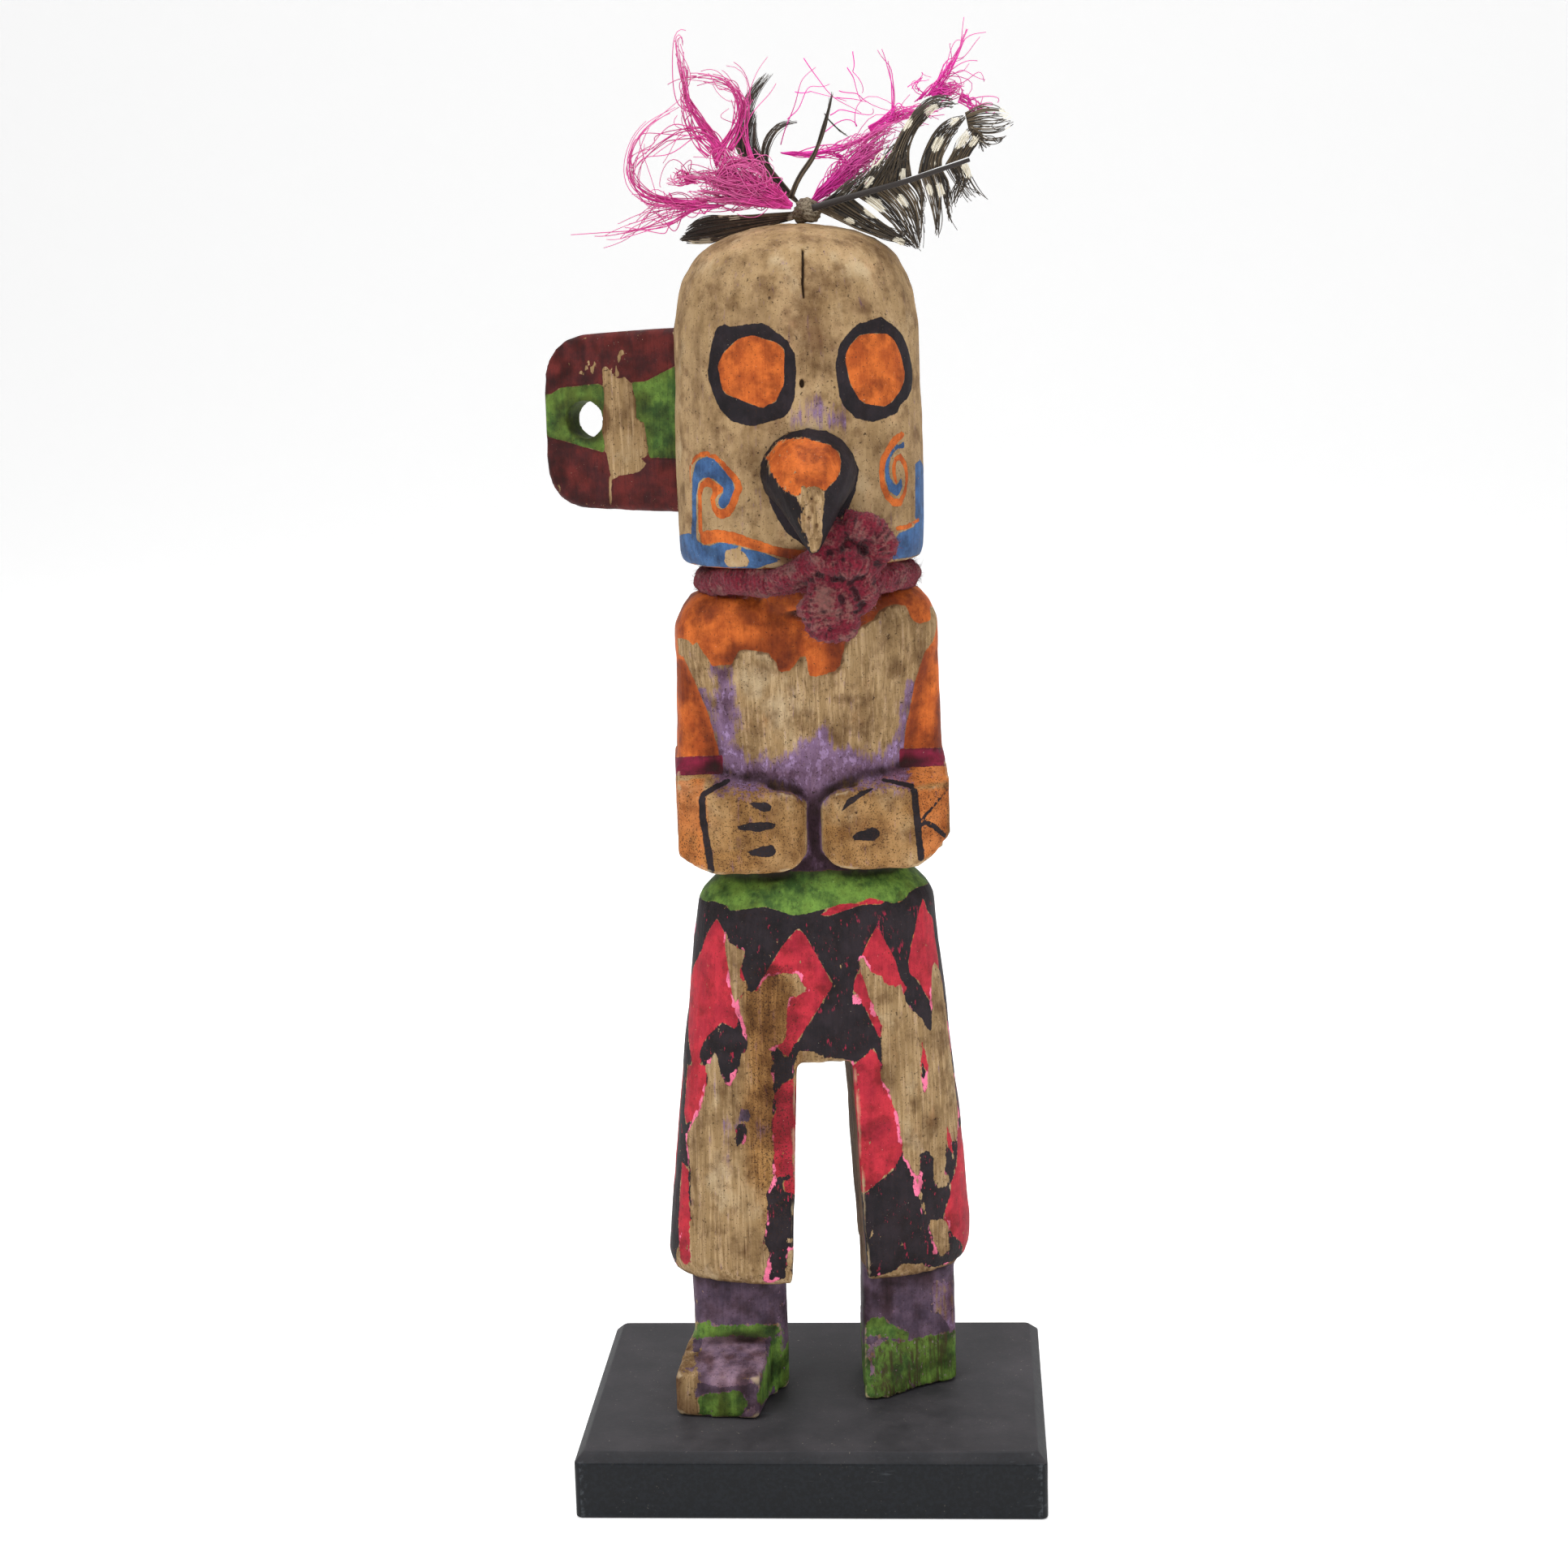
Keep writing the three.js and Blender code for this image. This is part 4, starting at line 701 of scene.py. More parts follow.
# Feathers: first line and last line of each clump in mm from the tie, across and up, and its barbs
GUINEA_RIGHT = {
    "near_quill": (
        "2.4,0.6 5.4,2.6 8.4,4.8 11.4,7.4",
        "19.9,5.3 20.7,7.4 21.4,9.4 20.7,11.7",
        50,
    ),
    "base_vane": (
        "9.9,2.7 12.1,5.8 15.1,9.4 18.5,13",
        "18.8,5 19.9,7.4 20.7,9.5 21.8,11.4",
        34,
    ),
    "first_lobe": (
        "15.1,4 17.7,10.6 20.8,16.4 24.9,21.2 29,22.3 32.7,20.4",
        "22.1,6 21.4,10.8 23,15 26.3,18.9 29.3,20.1 31.2,19.7",
        50,
    ),
    "second_lobe": (
        "23.6,6.4 24.4,10.1 26.7,14.6 29.7,17.5 33.7,17.9",
        "28.4,7.9 28.5,10 30.3,13.1 32.2,15.5 33.5,17.4",
        42,
    ),
    "third_lobe": (
        "29.2,8.1 30.7,10.7 32.2,13.4 34.3,16.2",
        "34,9.6 35.1,11.3 36.6,13 37.8,14.7",
        32,
    ),
    "tip_upper": (
        "33.4,18.3 36.4,19.9 39.3,19.9 42.6,18.6",
        "34.1,14.8 37.4,14 40.4,14 43.7,16",
        26,
    ),
    "tip_lower": (
        "34.3,16.2 37.4,13.3 40.4,12.9 43,13.9",
        "34.8,13.4 35.9,12.3 36.3,11.2 36.4,10.2",
        22,
    ),
    "low_sweep": (
        "2,-0.3 5.7,-2.1 12,-5.3 21.6,-8.3",
        "9.1,2.2 12.8,-0.8 17.2,-4.4 22.3,-8.1",
        60,
    ),
    "low_blade": (
        "9.9,2.7 14.3,-0.2 18.7,-4.4 23.2,-9.4",
        "21,4.6 23.5,1.4 24.4,-2.8 23.6,-9",
        56,
    ),
    "low_thin": (
        "21.4,4.9 23.6,2.4 24.1,-1 23.8,-5.6",
        "23.6,5.6 24.3,3.8 24.7,1.4 24.8,0.3",
        16,
    ),
    "low_second": (
        "24.2,5.7 25.4,2.1 26.5,-2.1 27.2,-7.2",
        "27.3,6.7 28.4,3.1 28.1,-2.2 27.5,-6.7",
        20,
    ),
    "low_third": (
        "27.3,6.7 28.7,1.3 29.8,-2.9 31.8,-5.7",
        "28.4,7.1 30.2,3.7 29.5,0.9 28.3,-1.5",
        20,
    ),
    "low_fourth": (
        "29.9,7.5 31.7,5.4 30.2,2.3 30.2,-1.2",
        "33.6,8.2 34.2,6.1 33.2,3.3 30.9,0.2",
        18,
    ),
    "low_tips": (
        "29.2,7.4 31,4.4 32.8,1.6 34.3,-0.2",
        "33.3,8.2 34.7,5 36.5,2.2 38.4,0.1",
        14,
    ),
}
GUINEA_RIGHT_QUILL = "1.3,0 6.9,1.5 15.1,3.5 21,4.9 26.2,6.5 31,7.9 34.2,8.9"
HACKLE_MID = {
    "blade": (
        "-3.9,2.3 -2,6.8 1,10.5 2.2,12.6 3.3,16.1 5,20.2 5.8,24",
        "-2.9,2.3 -1.2,6.4 1.8,10.2 2.7,12.2 4.3,15.7 5.2,19.5 5.9,23.7",
        26,
    ),
    "side": (
        "4.1,19.4 5.6,17.1 7.8,15.3",
        "4.5,18.5 6.7,16.3 9.4,14.2",
        10,
    ),
}
PINK_RIGHT = {
    "core_low": (
        "0.2,0.8 4,4.9 8.4,8.7 12.9,11.7 18.1,13.7",
        "0.9,0.8 5.4,4.2 9.9,7.6 13.6,10.3 17.9,12.3",
        70,
    ),
    "core_high": (
        "0.2,1.2 4.7,6.3 9.2,10.4 14.4,14.5 20,17.1",
        "0.6,1.2 5.1,4.9 9.9,9 14.4,12.4 18.9,15.1",
        70,
    ),
    "bundle": (
        "-5.6,11.9 0.3,11.6 4.8,12.2 10,13.5 15.2,16.5 20,17.8",
        "-5.2,11.7 0.3,10.9 5.5,11.5 10.7,13.1 15.9,15.8 20.4,16.8",
        24,
    ),
    "front_curl": (
        "5.5,11.5 7.7,10.8 9.2,7.6 7.3,5.9 9.9,4.5 10.5,7.6",
        "5.9,11.1 7.7,9.7 7.7,6.9 8.4,4.1 11,5.1 10.3,9.7",
        10,
    ),
    "upper_mesh": (
        "13,16.6 17.5,19.3 21.9,20.2 24.9,21.2 28.6,22.5",
        "13.7,15.2 18.2,17.2 22.6,18.5 26.3,18.4 30,19",
        30,
    ),
    "top_clump": (
        "26.4,22.9 28.6,24.3 30.5,24.9 32.7,23.1",
        "26.4,22.6 29,22.5 31.2,22.5 32.3,21.8",
        40,
    ),
    "spray_up": (
        "25.8,22.6 28.6,26.7 31.7,30.8 33.2,34.3 33.9,38.6",
        "27.5,22.9 30.1,26.7 32.4,30.8 33.6,34.3 35.3,37.5",
        9,
    ),
    "spray_right": (
        "32.7,23.1 35.3,21 37.5,20.3 40.1,20.9",
        "31.9,21.1 34.5,19.6 37.1,19.6 38.6,20.6",
        14,
    ),
    "tall_bend": (
        "18,18.6 18.6,24.1 17.9,27.6 16.1,31.8 14.7,35",
        "18.2,18.6 19,24.1 18.3,27.3 16.3,31.5 14.8,34.6",
        3,
    ),
    "side_bend": (
        "21.6,24.4 23.8,26.1 25.7,26.9 27.4,27.4",
        "26,22.6 23.4,24 21.6,24.4 23.8,25.8",
        5,
    ),
    "loose_arcs": (
        "-6,11.7 -4,19 -1.4,26.2 0.9,29.7 3.2,32.8",
        "-0.2,31.1 2.3,27.2 4.9,23.7 9.3,20.8 13,18.3",
        4,
    ),
    "cross_hairs": (
        "3.3,14.7 10,18 16.7,20 21.9,20.9",
        "10.2,32.3 10.2,29.2 10.9,26 13,22.8 14.9,20.4",
        6,
    ),
    "near_tie": (
        "0.6,1.9 4.7,5.9 9.2,8.6 12.2,9.6 11.4,6.9",
        "1.3,2.2 6.6,7.6 9.9,11.1 12.9,11.7 15.1,10.3",
        26,
    ),
    "upper_hairs": (
        "26,22.6 29.4,27.4 32.4,31.9 34.3,34.9 38.7,35.2",
        "22.7,21.3 26.4,24.3 31.2,25.6 35.7,25.5 38.6,23",
        7,
    ),
}
PINK_LEFT = {
    "body": (
        "-3.1,0.4 -8.3,2.5 -15.2,4.6 -21.1,6.3 -27.3,7.7",
        "-2.7,1.1 -6.5,4.7 -11.7,6.8 -17.6,7.2 -23.9,7",
        130,
    ),
    "body_low": (
        "-3.1,0.1 -10,0.9 -17,1.7 -23.9,2.4",
        "-3.1,0.4 -10,2.8 -16.9,3.9 -23.2,4.7",
        90,
    ),
    "coil": (
        "-6.5,3.1 -14.1,4.5 -18.6,7.9 -17.9,10.8 -13.4,10.7 -8.2,8.3 -6.8,5.7 -9.6,3.5 -13.5,3.9",
        "-5.8,3.4 -11.7,5.5 -15.2,7.2 -15.1,9.1 -12.7,9.4 -9.2,7.4 -8.6,5.7 -10.7,5.1 -12.7,5.8",
        44,
    ),
    "loop_right": (
        "-18.6,8.9 -16.1,14.1 -12.9,17.9 -11.9,22.5 -14.9,26.4 -19.1,27.5 -23.6,27.6 -27.8,26 -29.9,23.5",
        "-19.6,12.2 -16.8,14.1 -14,17.3 -12.7,21.2 -13.6,23.8 -16.7,26.5 -21.5,27.5 -25.7,27 -28.5,25.4",
        14,
    ),
    "loop_mid": (
        "-17.2,13.4 -20.3,18.1 -23.7,23.3 -25,27.3 -25.7,30.9 -26.7,34.5 -26,36.8 -24.8,35.1 -25.3,32.8",
        "-18.2,12.1 -21.7,16.8 -24.4,22.1 -24.3,26 -24.6,29.2 -25.5,31.9 -25.3,33.8 -25.8,36.4 -26.7,34.8",
        22,
    ),
    "stem_left": (
        "-20.3,10.9 -23.1,13.5 -24.8,18.1 -24.7,23.4 -24,26.3",
        "-18.2,12.8 -21.7,15.5 -23.7,18.8 -24.4,22.7 -23.5,26",
        12,
    ),
    "far_loop": (
        "-20.4,2.4 -27.4,2.8 -32.9,4.3 -36.4,7.3 -37,11.5 -34.9,15.7 -30.7,19.6 -25.1,22.1",
        "-21.1,1.1 -28.1,1.5 -33.6,2.6 -37.1,6.3 -36.3,12.5 -33.5,17 -28.6,19.8 -24.7,23.4",
        14,
    ),
    "low_band": (
        "-17,1.3 -23.9,1.5 -30.9,1.3 -35.7,2.7",
        "-18.7,0.7 -23.9,0.8 -28.8,1.6 -33.7,1.3",
        26,
    ),
    "low_wisps": (
        "-20.4,2.7 -26.7,1.5 -31.6,0.6 -37.8,0.1 -43.1,-3.7 -44.9,-10.2",
        "-21.8,1.1 -28.1,-2 -34.4,-3.9 -39.3,-6.1 -42.5,-8.3",
        9,
    ),
    "long_wisp": (
        "-23.2,1.1 -28.8,-3.3 -35.8,-4.5 -43.8,-4.4 -52.1,-2.9",
        "-22.9,0.8 -30.9,-1 -35.8,-3.5 -40.7,-6.4",
        6,
    ),
    "barb_tips": (
        "-23.9,7 -25.9,8.7 -27.3,9.7",
        "-22.5,5.7 -25.3,6.1 -29.4,5.5",
        26,
    ),
    "mass_low": (
        "-3.1,0.4 -10,1.9 -15.2,2.9 -18.7,4.3",
        "-2.7,0.7 -7.2,3.8 -12,5.2 -16.2,5.9",
        60,
    ),
    "mass_high": (
        "-2.9,0.7 -6.5,4.4 -8.9,6.7 -11.7,9.4",
        "-3.1,1.1 -8.2,4.8 -13.4,7.1 -18.3,9.2",
        50,
    ),
    "curls": (
        "-6.5,3.7 -11.7,2.5 -17.6,3.6 -19,6.9 -15.8,9.5 -11.3,10 -7.5,7.4",
        "-7.2,4.4 -12.8,3.9 -16.2,5.2 -16.5,7.5 -14.1,8.8 -11,8.4 -8.6,6.1",
        34,
    ),
    "outer_arcs": (
        "-16.9,9.5 -19.6,14.1 -23.8,15.5 -28.7,13.6 -32.9,9.8 -34.3,5.3 -31.2,1.9",
        "-15.1,10.8 -18.5,16.7 -25.1,18.8 -31.1,16 -35.6,11.5 -36.4,6.3 -33.7,1.7",
        9,
    ),
    "high_arcs": (
        "-15.1,12.1 -11.6,16.6 -11.2,21.8 -13.9,26.1 -18.4,28.5 -21.5,29.2",
        "-16.1,12.7 -13.7,16.6 -12.6,20.5 -14.3,24.5 -18.1,27.2 -23.6,28.6",
        8,
    ),
    "crossing_hairs": (
        "-9.9,8.7 -11.9,15.3 -10.1,21.8 -6.3,25.6 -2,30.4",
        "-11.3,10 -13.3,16 -16,21.9 -17.4,27.8 -16.6,31.7",
        6,
    ),
}
HACKLE_LEFT = {
    "tall": (
        "-1.5,0.9 -7.5,5.3 -15.8,12.7 -15.1,16.6 -14,21.2 -12.2,24.8 -9,28.1",
        "-1.2,0.5 -5.4,6.1 -13.4,10.1 -12.6,14.6 -11.2,21.8 -9.7,25 -6.7,28.7",
        34,
    ),
    "broad": (
        "-1.5,0.9 -7.5,5.3 -15.8,13.4 -14.4,16.6 -12.9,18.6 -10.8,21.8",
        "-1.2,0.5 -5.4,6.1 -9.2,10 -10.2,13.3 -10.9,16.6 -10.5,20.5",
        40,
    ),
    "curved": (
        "-1.5,0.9 -7.5,5.3 -9.9,10 -9.5,14.3 -7.4,17.2 -4.9,18.4 -1.8,18.2",
        "-1.2,0.5 -5.4,6.1 -8.9,10.3 -7.4,14.5 -6.4,16.2 -4.3,17.6 -1.6,18.1",
        22,
    ),
}
GUINEA_LEFT = {
    "upper": (
        "-1,-0.3 -10,-0.8 -18.7,-0.6 -22.9,-0.8 -26.1,-3.1",
        "-1.3,-1.6 -10,-2.2 -20.5,-3.5 -25.7,-4.7 -27.5,-5.2",
        50,
    ),
    "lower": (
        "-1.3,-1.4 -10,-2.1 -20.5,-3.3 -25.7,-4.5 -27.5,-5.2",
        "-6.6,-2.6 -13.5,-4.3 -18.8,-5.8 -21.9,-6.7 -27.5,-5.6",
        54,
    ),
    "quill": (
        "-1,-1.3 -10,-1.7 -17,-2.3 -24,-3.4 -26.8,-4.4",
        "-1,-1.3 -10,-1.9 -17,-2.4 -24,-3.6 -26.8,-4.4",
        8,
    ),
}
CREAM_SPOTS = (
    "13.2,5.1 20.3,6.5 15.1,9.9 21.5,16.4 26.3,19.3 27.4,12.3 31.1,16.9 32.6,13.1 35.2,12.7 42.6,14.6 "
    "42.6,18.1 9.1,-2.8 13.5,-1.2 20.2,1.1 25.8,3.1 14.6,0.5 19.4,-7.2 28,3.1 33.6,7.1 -25,-6.2 "
    "-22.2,-6 -18.1,-0.6 -15,-1.2 -3,-1.4"
)


# Distances are measured over the carved wood, so that a painted outline follows its curve.
def girth(middle, wide, front, back, square, count=1440):
    """Distance round a rounded section from the middle of its front, mm, as a function of x and y."""
    turn = np.linspace(-np.pi, np.pi, count + 1)
    power = 2 / square
    deep = np.where(np.cos(turn) > 0, front, back)
    x = wide * np.sign(np.sin(turn)) * abs(np.sin(turn)) ** power
    y = -deep * np.sign(np.cos(turn)) * abs(np.cos(turn)) ** power
    travelled = np.r_[0, np.cumsum(np.hypot(np.diff(x), np.diff(y)))]
    travelled -= travelled[count // 2]
    angle = np.arctan2(x / wide, -y / deep)
    angle[0] = -np.pi
    angle[-1] = np.pi

    def around(px, py):
        seen = np.arctan2((px - middle) / wide, -py / np.where(py < 0, front, back))
        return np.interp(seen, angle, travelled)

    return around


HEAD_GIRTH = girth(-0.3, 26.4, 24.8, 24.8, 2.1)
KILT_GIRTH = girth(0, 31, 16.8, 17, 2.3)
FRONT_LEAN = 0.19
EAR_SWEEP = np.radians(20.5)
EAR_HOLE = (-47.3, 217.8)
FAR = 9.0


def turned(points, angle):
    """Points turned about the upright axis."""
    c, s = np.cos(angle), np.sin(angle)
    x, y, z = points.T
    return np.stack([c * x - s * y, s * x + c * y, z], 1)


def to_doll(points):
    """World mm to the doll's own mm."""
    return turned(points - DOLL_PLACE, -DOLL_TURN)


def from_doll(points):
    """The doll's own mm to world mm."""
    return turned(np.asarray(points, float), DOLL_TURN) + DOLL_PLACE


def spots_of(text):
    """A row of points written as 'across,up across,up'."""
    return np.array([[float(part) for part in word.split(",")] for word in text.split()])


def segments(points, closed):
    return zip(points, np.roll(points, -1, 0)) if closed else zip(points[:-1], points[1:])


def inside(across, up, text):
    """How far each point lies inside a closed outline, mm; less than 0 outside it."""
    corners = spots_of(text)
    near = np.full(len(across), FAR)
    within = np.zeros(len(across), bool)
    low, high = corners.min(0) - FAR, corners.max(0) + FAR
    seen = (across > low[0]) & (across < high[0]) & (up > low[1]) & (up < high[1])
    u, v = across[seen], up[seen]
    close, hit = near[seen], within[seen]
    for (ax, ay), (bx, by) in segments(corners, True):
        dx, dy = bx - ax, by - ay
        share = np.clip(((u - ax) * dx + (v - ay) * dy) / (dx * dx + dy * dy + 1e-9), 0, 1)
        close = np.minimum(close, np.hypot(u - ax - share * dx, v - ay - share * dy))
        if ay != by:
            hit ^= ((ay > v) != (by > v)) & (u < ax + (v - ay) * dx / dy)
    near[seen] = np.where(hit, close, -close)
    near[~seen] = -FAR
    return near


def under_brush(across, up, text):
    """How far each point lies under a brush stroke given as 'across,up,half width'."""
    marks = spots_of(text)
    field = np.full(len(across), -FAR)
    for (ax, ay, ar), (bx, by, br) in segments(marks, False):
        dx, dy = bx - ax, by - ay
        share = np.clip(((across - ax) * dx + (up - ay) * dy) / (dx * dx + dy * dy + 1e-9), 0, 1)
        away = np.hypot(across - ax - share * dx, up - ay - share * dy)
        field = np.maximum(field, ar + share * (br - ar) - away)
    return field


def place_on_line(value, text, axis=0):
    """The other coordinate of a drawn line, where the one on `axis` has this value."""
    marks = spots_of(text)
    marks = marks[np.argsort(marks[:, axis])]
    return np.interp(value, marks[:, axis], marks[:, 1 - axis])


def lumps(points, size, seed=1):
    """Smooth unevenness from -1 to 1 with humps about `size` mm across."""
    cell = points / np.array(size, float)
    low = np.floor(cell).astype(np.int64)
    part = cell - low
    part = part * part * (3 - 2 * part)
    total = np.zeros(len(points))
    for corner in product((0, 1), repeat=3):
        spot = low + corner
        mixed = spot[:, 0] * 73856093 ^ spot[:, 1] * 19349663 ^ spot[:, 2] * 83492791 ^ seed * 2654435761
        mixed = (mixed ^ (mixed >> 13)) * 1274126177 & 0x7FFFFFFF
        height = (mixed >> 7 & 0xFFFF) / 32767.5 - 1
        weight = np.prod(np.where(corner, part, 1 - part), 1)
        total += height * weight
    return total


def eased(value, low, high):
    share = np.clip((value - low) / (high - low), 0, 1)
    return share * share * (3 - 2 * share)


class PaintJob:
    """Coats of paint on one carved piece: how far each point lies inside each coat, mm."""

    def __init__(self, count):
        self.coats = {coat: np.full(count, -FAR) for coat in ("wood", *COATS)}
        self.marks = {mark: np.zeros(count) for mark in SOFT_MARKS}

    def brush(self, coat, field):
        for other, depth in self.coats.items():
            self.coats[other] = np.maximum(depth, field) if other == coat else np.minimum(depth, -field)

    def soft(self, mark, field):
        self.marks[mark] = np.maximum(self.marks[mark], field)

    def write(self, piece):
        layers = {"coat_" + coat: depth for coat, depth in self.coats.items()}
        for name, values in {**layers, **self.marks}.items():
            write_marks(piece, name, values)


def write_marks(piece, name, values):
    made = piece.data.attributes.new(name, "FLOAT", "POINT")
    made.data.foreach_set("value", np.asarray(values, np.float32))


def mesh_points(piece):
    flat = np.empty(len(piece.data.vertices) * 3, np.float32)
    piece.data.vertices.foreach_get("co", flat)
    return flat.reshape(-1, 3).astype(float) / MM


def mesh_facings(piece):
    flat = np.empty(len(piece.data.vertices) * 3, np.float32)
    piece.data.vertex_normals.foreach_get("vector", flat)
    return flat.reshape(-1, 3).astype(float)


def move_points(piece, points):
    piece.data.vertices.foreach_set("co", (points * MM).astype(np.float32).ravel())
    piece.data.update()


def sharpness(piece, points, facings, passes=2):
    """Above 0 on outward corners, below 0 in hollows, near 1 on a worn edge."""
    flat = np.empty(len(piece.data.edges) * 2, np.int32)
    piece.data.edges.foreach_get("vertices", flat)
    a, b = flat.reshape(-1, 2).T
    count = np.maximum(np.bincount(a, minlength=len(points)) + np.bincount(b, minlength=len(points)), 1)

    def spread(values):
        total = np.bincount(a, values[b], len(points)) + np.bincount(b, values[a], len(points))
        return total / count

    middle = np.stack([spread(points[:, axis]) for axis in range(3)], 1)
    bend = ((points - middle) * facings).sum(1)
    for _ in range(passes):
        bend = 0.5 * bend + 0.5 * spread(bend)
    return bend


def welded_copy(node, name):
    """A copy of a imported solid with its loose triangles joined."""
    piece = bpy.data.objects.new(name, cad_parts[node].data.copy())
    bpy.context.collection.objects.link(piece)
    piece.data.materials.clear()
    edit_whole(piece)
    bpy.ops.mesh.remove_doubles(threshold=WELD_GAP * MM)
    bpy.ops.object.mode_set(mode="OBJECT")
    return piece


def carved_copy(node, name, net, passes=3):
    """A welded copy on an even net, ready for tool marks."""
    piece = welded_copy(node, name)
    remesh = piece.modifiers.new("net", "REMESH")
    remesh.mode = "VOXEL"
    remesh.voxel_size = net * MM
    rub = piece.modifiers.new("rub", "SMOOTH")
    rub.factor = 0.5
    rub.iterations = passes
    apply_all(piece)
    smooth_faces(piece)
    return piece


def settle(piece, node, material):
    piece.data.materials.append(material)
    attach(piece, "root")
    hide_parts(node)


# Coats in the order in which they lie, each with its outlines and strokes
HEAD_LAYERS = (
    ("blue", ("chin_band_left", "temple_blue", "hook_left_blue", "hook_right_blue")),
    ("wood", ("chin_bare",)),
    ("orange", ("hook_left_orange", "hook_left_inner", "cheek_line", "hook_right_orange", "temple_line")),
    ("charcoal", ("beak_outline_on_face", "eye_left_ring")),
    ("orange", ("eye_left",)),
    ("charcoal", ("eye_right_ring",)),
    ("orange", ("eye_right",)),
)
KILT_LAYERS = (
    ("red", ("diamond_1", "diamond_2", "diamond_3", "diamond_4")),
    ("wood", ("bare_left", "bare_d1", "bare_right", "bare_d3_left", "bare_low_right")),
    ("red", ("leg_left_red", "leg_right_red", "edge_left_red", "edge_left_red_low", "edge_right_red")),
    ("charcoal", ("drip_left", "leg_left_black", "leg_left_low", "leg_right_low", "tooth_right_black")),
    ("red", ("leg_left_low_red", "red_under_green", "sliver_right")),
    ("charcoal", ("edge_right_black", "sliver_right_black", "spot_left")),
    ("purple", ("spot_left_purple",)),
    ("red", ("drip_left_red",)),
    ("wood", ("slit_right", "bare_low_right", "crotch_bare", "hem_bare_right", "hem_bare_left")),
)


def drawing(across, up, where, outlines, strokes):
    """Turns the name of an outline or a brush stroke into its field on one piece."""
    def field(name):
        if name in outlines:
            found = inside(across, up, outlines[name])
        else:
            found = under_brush(across, up, strokes[name])
        return np.where(where, found, -FAR)

    return field


def lay(job, drawn, layers):
    """Lays coats one over another, each from the drawings named in its row."""
    for coat, names in layers:
        for name in names:
            job.brush(coat, drawn(name))


def paint_head(job, x, y, z):
    s = HEAD_GIRTH(x, y)
    here = z > HEAD_BOTTOM - 0.6

    drawn = drawing(s, z, here, HEAD_PAINT, HEAD_STROKES)

    band_top = 192.6 + 0.7 * np.sin(s * 0.31) + 0.3 * np.sin(s * 1.1)
    job.brush("blue", np.where(here & (abs(s) > 36), band_top - z, -FAR))
    lay(job, drawn, HEAD_LAYERS)
    job.soft("stain_and_shade", np.clip(drawn("brown_smudge") + 1.6, 0, 2) * 0.8)
    brow = 1.5 - np.hypot((s - 1.5) / 5, (z - 236) / 9)
    job.soft("stain_and_shade", np.where(here, brow, 0))
    job.soft("lilac", np.clip(drawn("purple_smudge") * 0.6 + 1.0, 0, 1.5))
    job.soft("stain_and_shade", np.clip(drawn("orange_smudge") + 0.8, 0, 1))
    # Painted shadow of the beak on the chin below it
    beak_shadow = 5.5 - np.hypot((s - 1) * 0.5, (z - 190.5) * 2.2)
    job.soft("stain_and_shade", np.where(here, beak_shadow, 0))
    back = here & (abs(s) > 62)
    job.soft("stain_and_shade", np.where(back, 1.4 - abs(z - 214) / 14, 0))
    job.soft("smooth", np.where(here & (abs(s) < 50), 1.0, 0.4 * here))
    return drawn("head_crack"), np.hypot((s + 0.4) / 0.45, (z - 225.7) / 0.75)


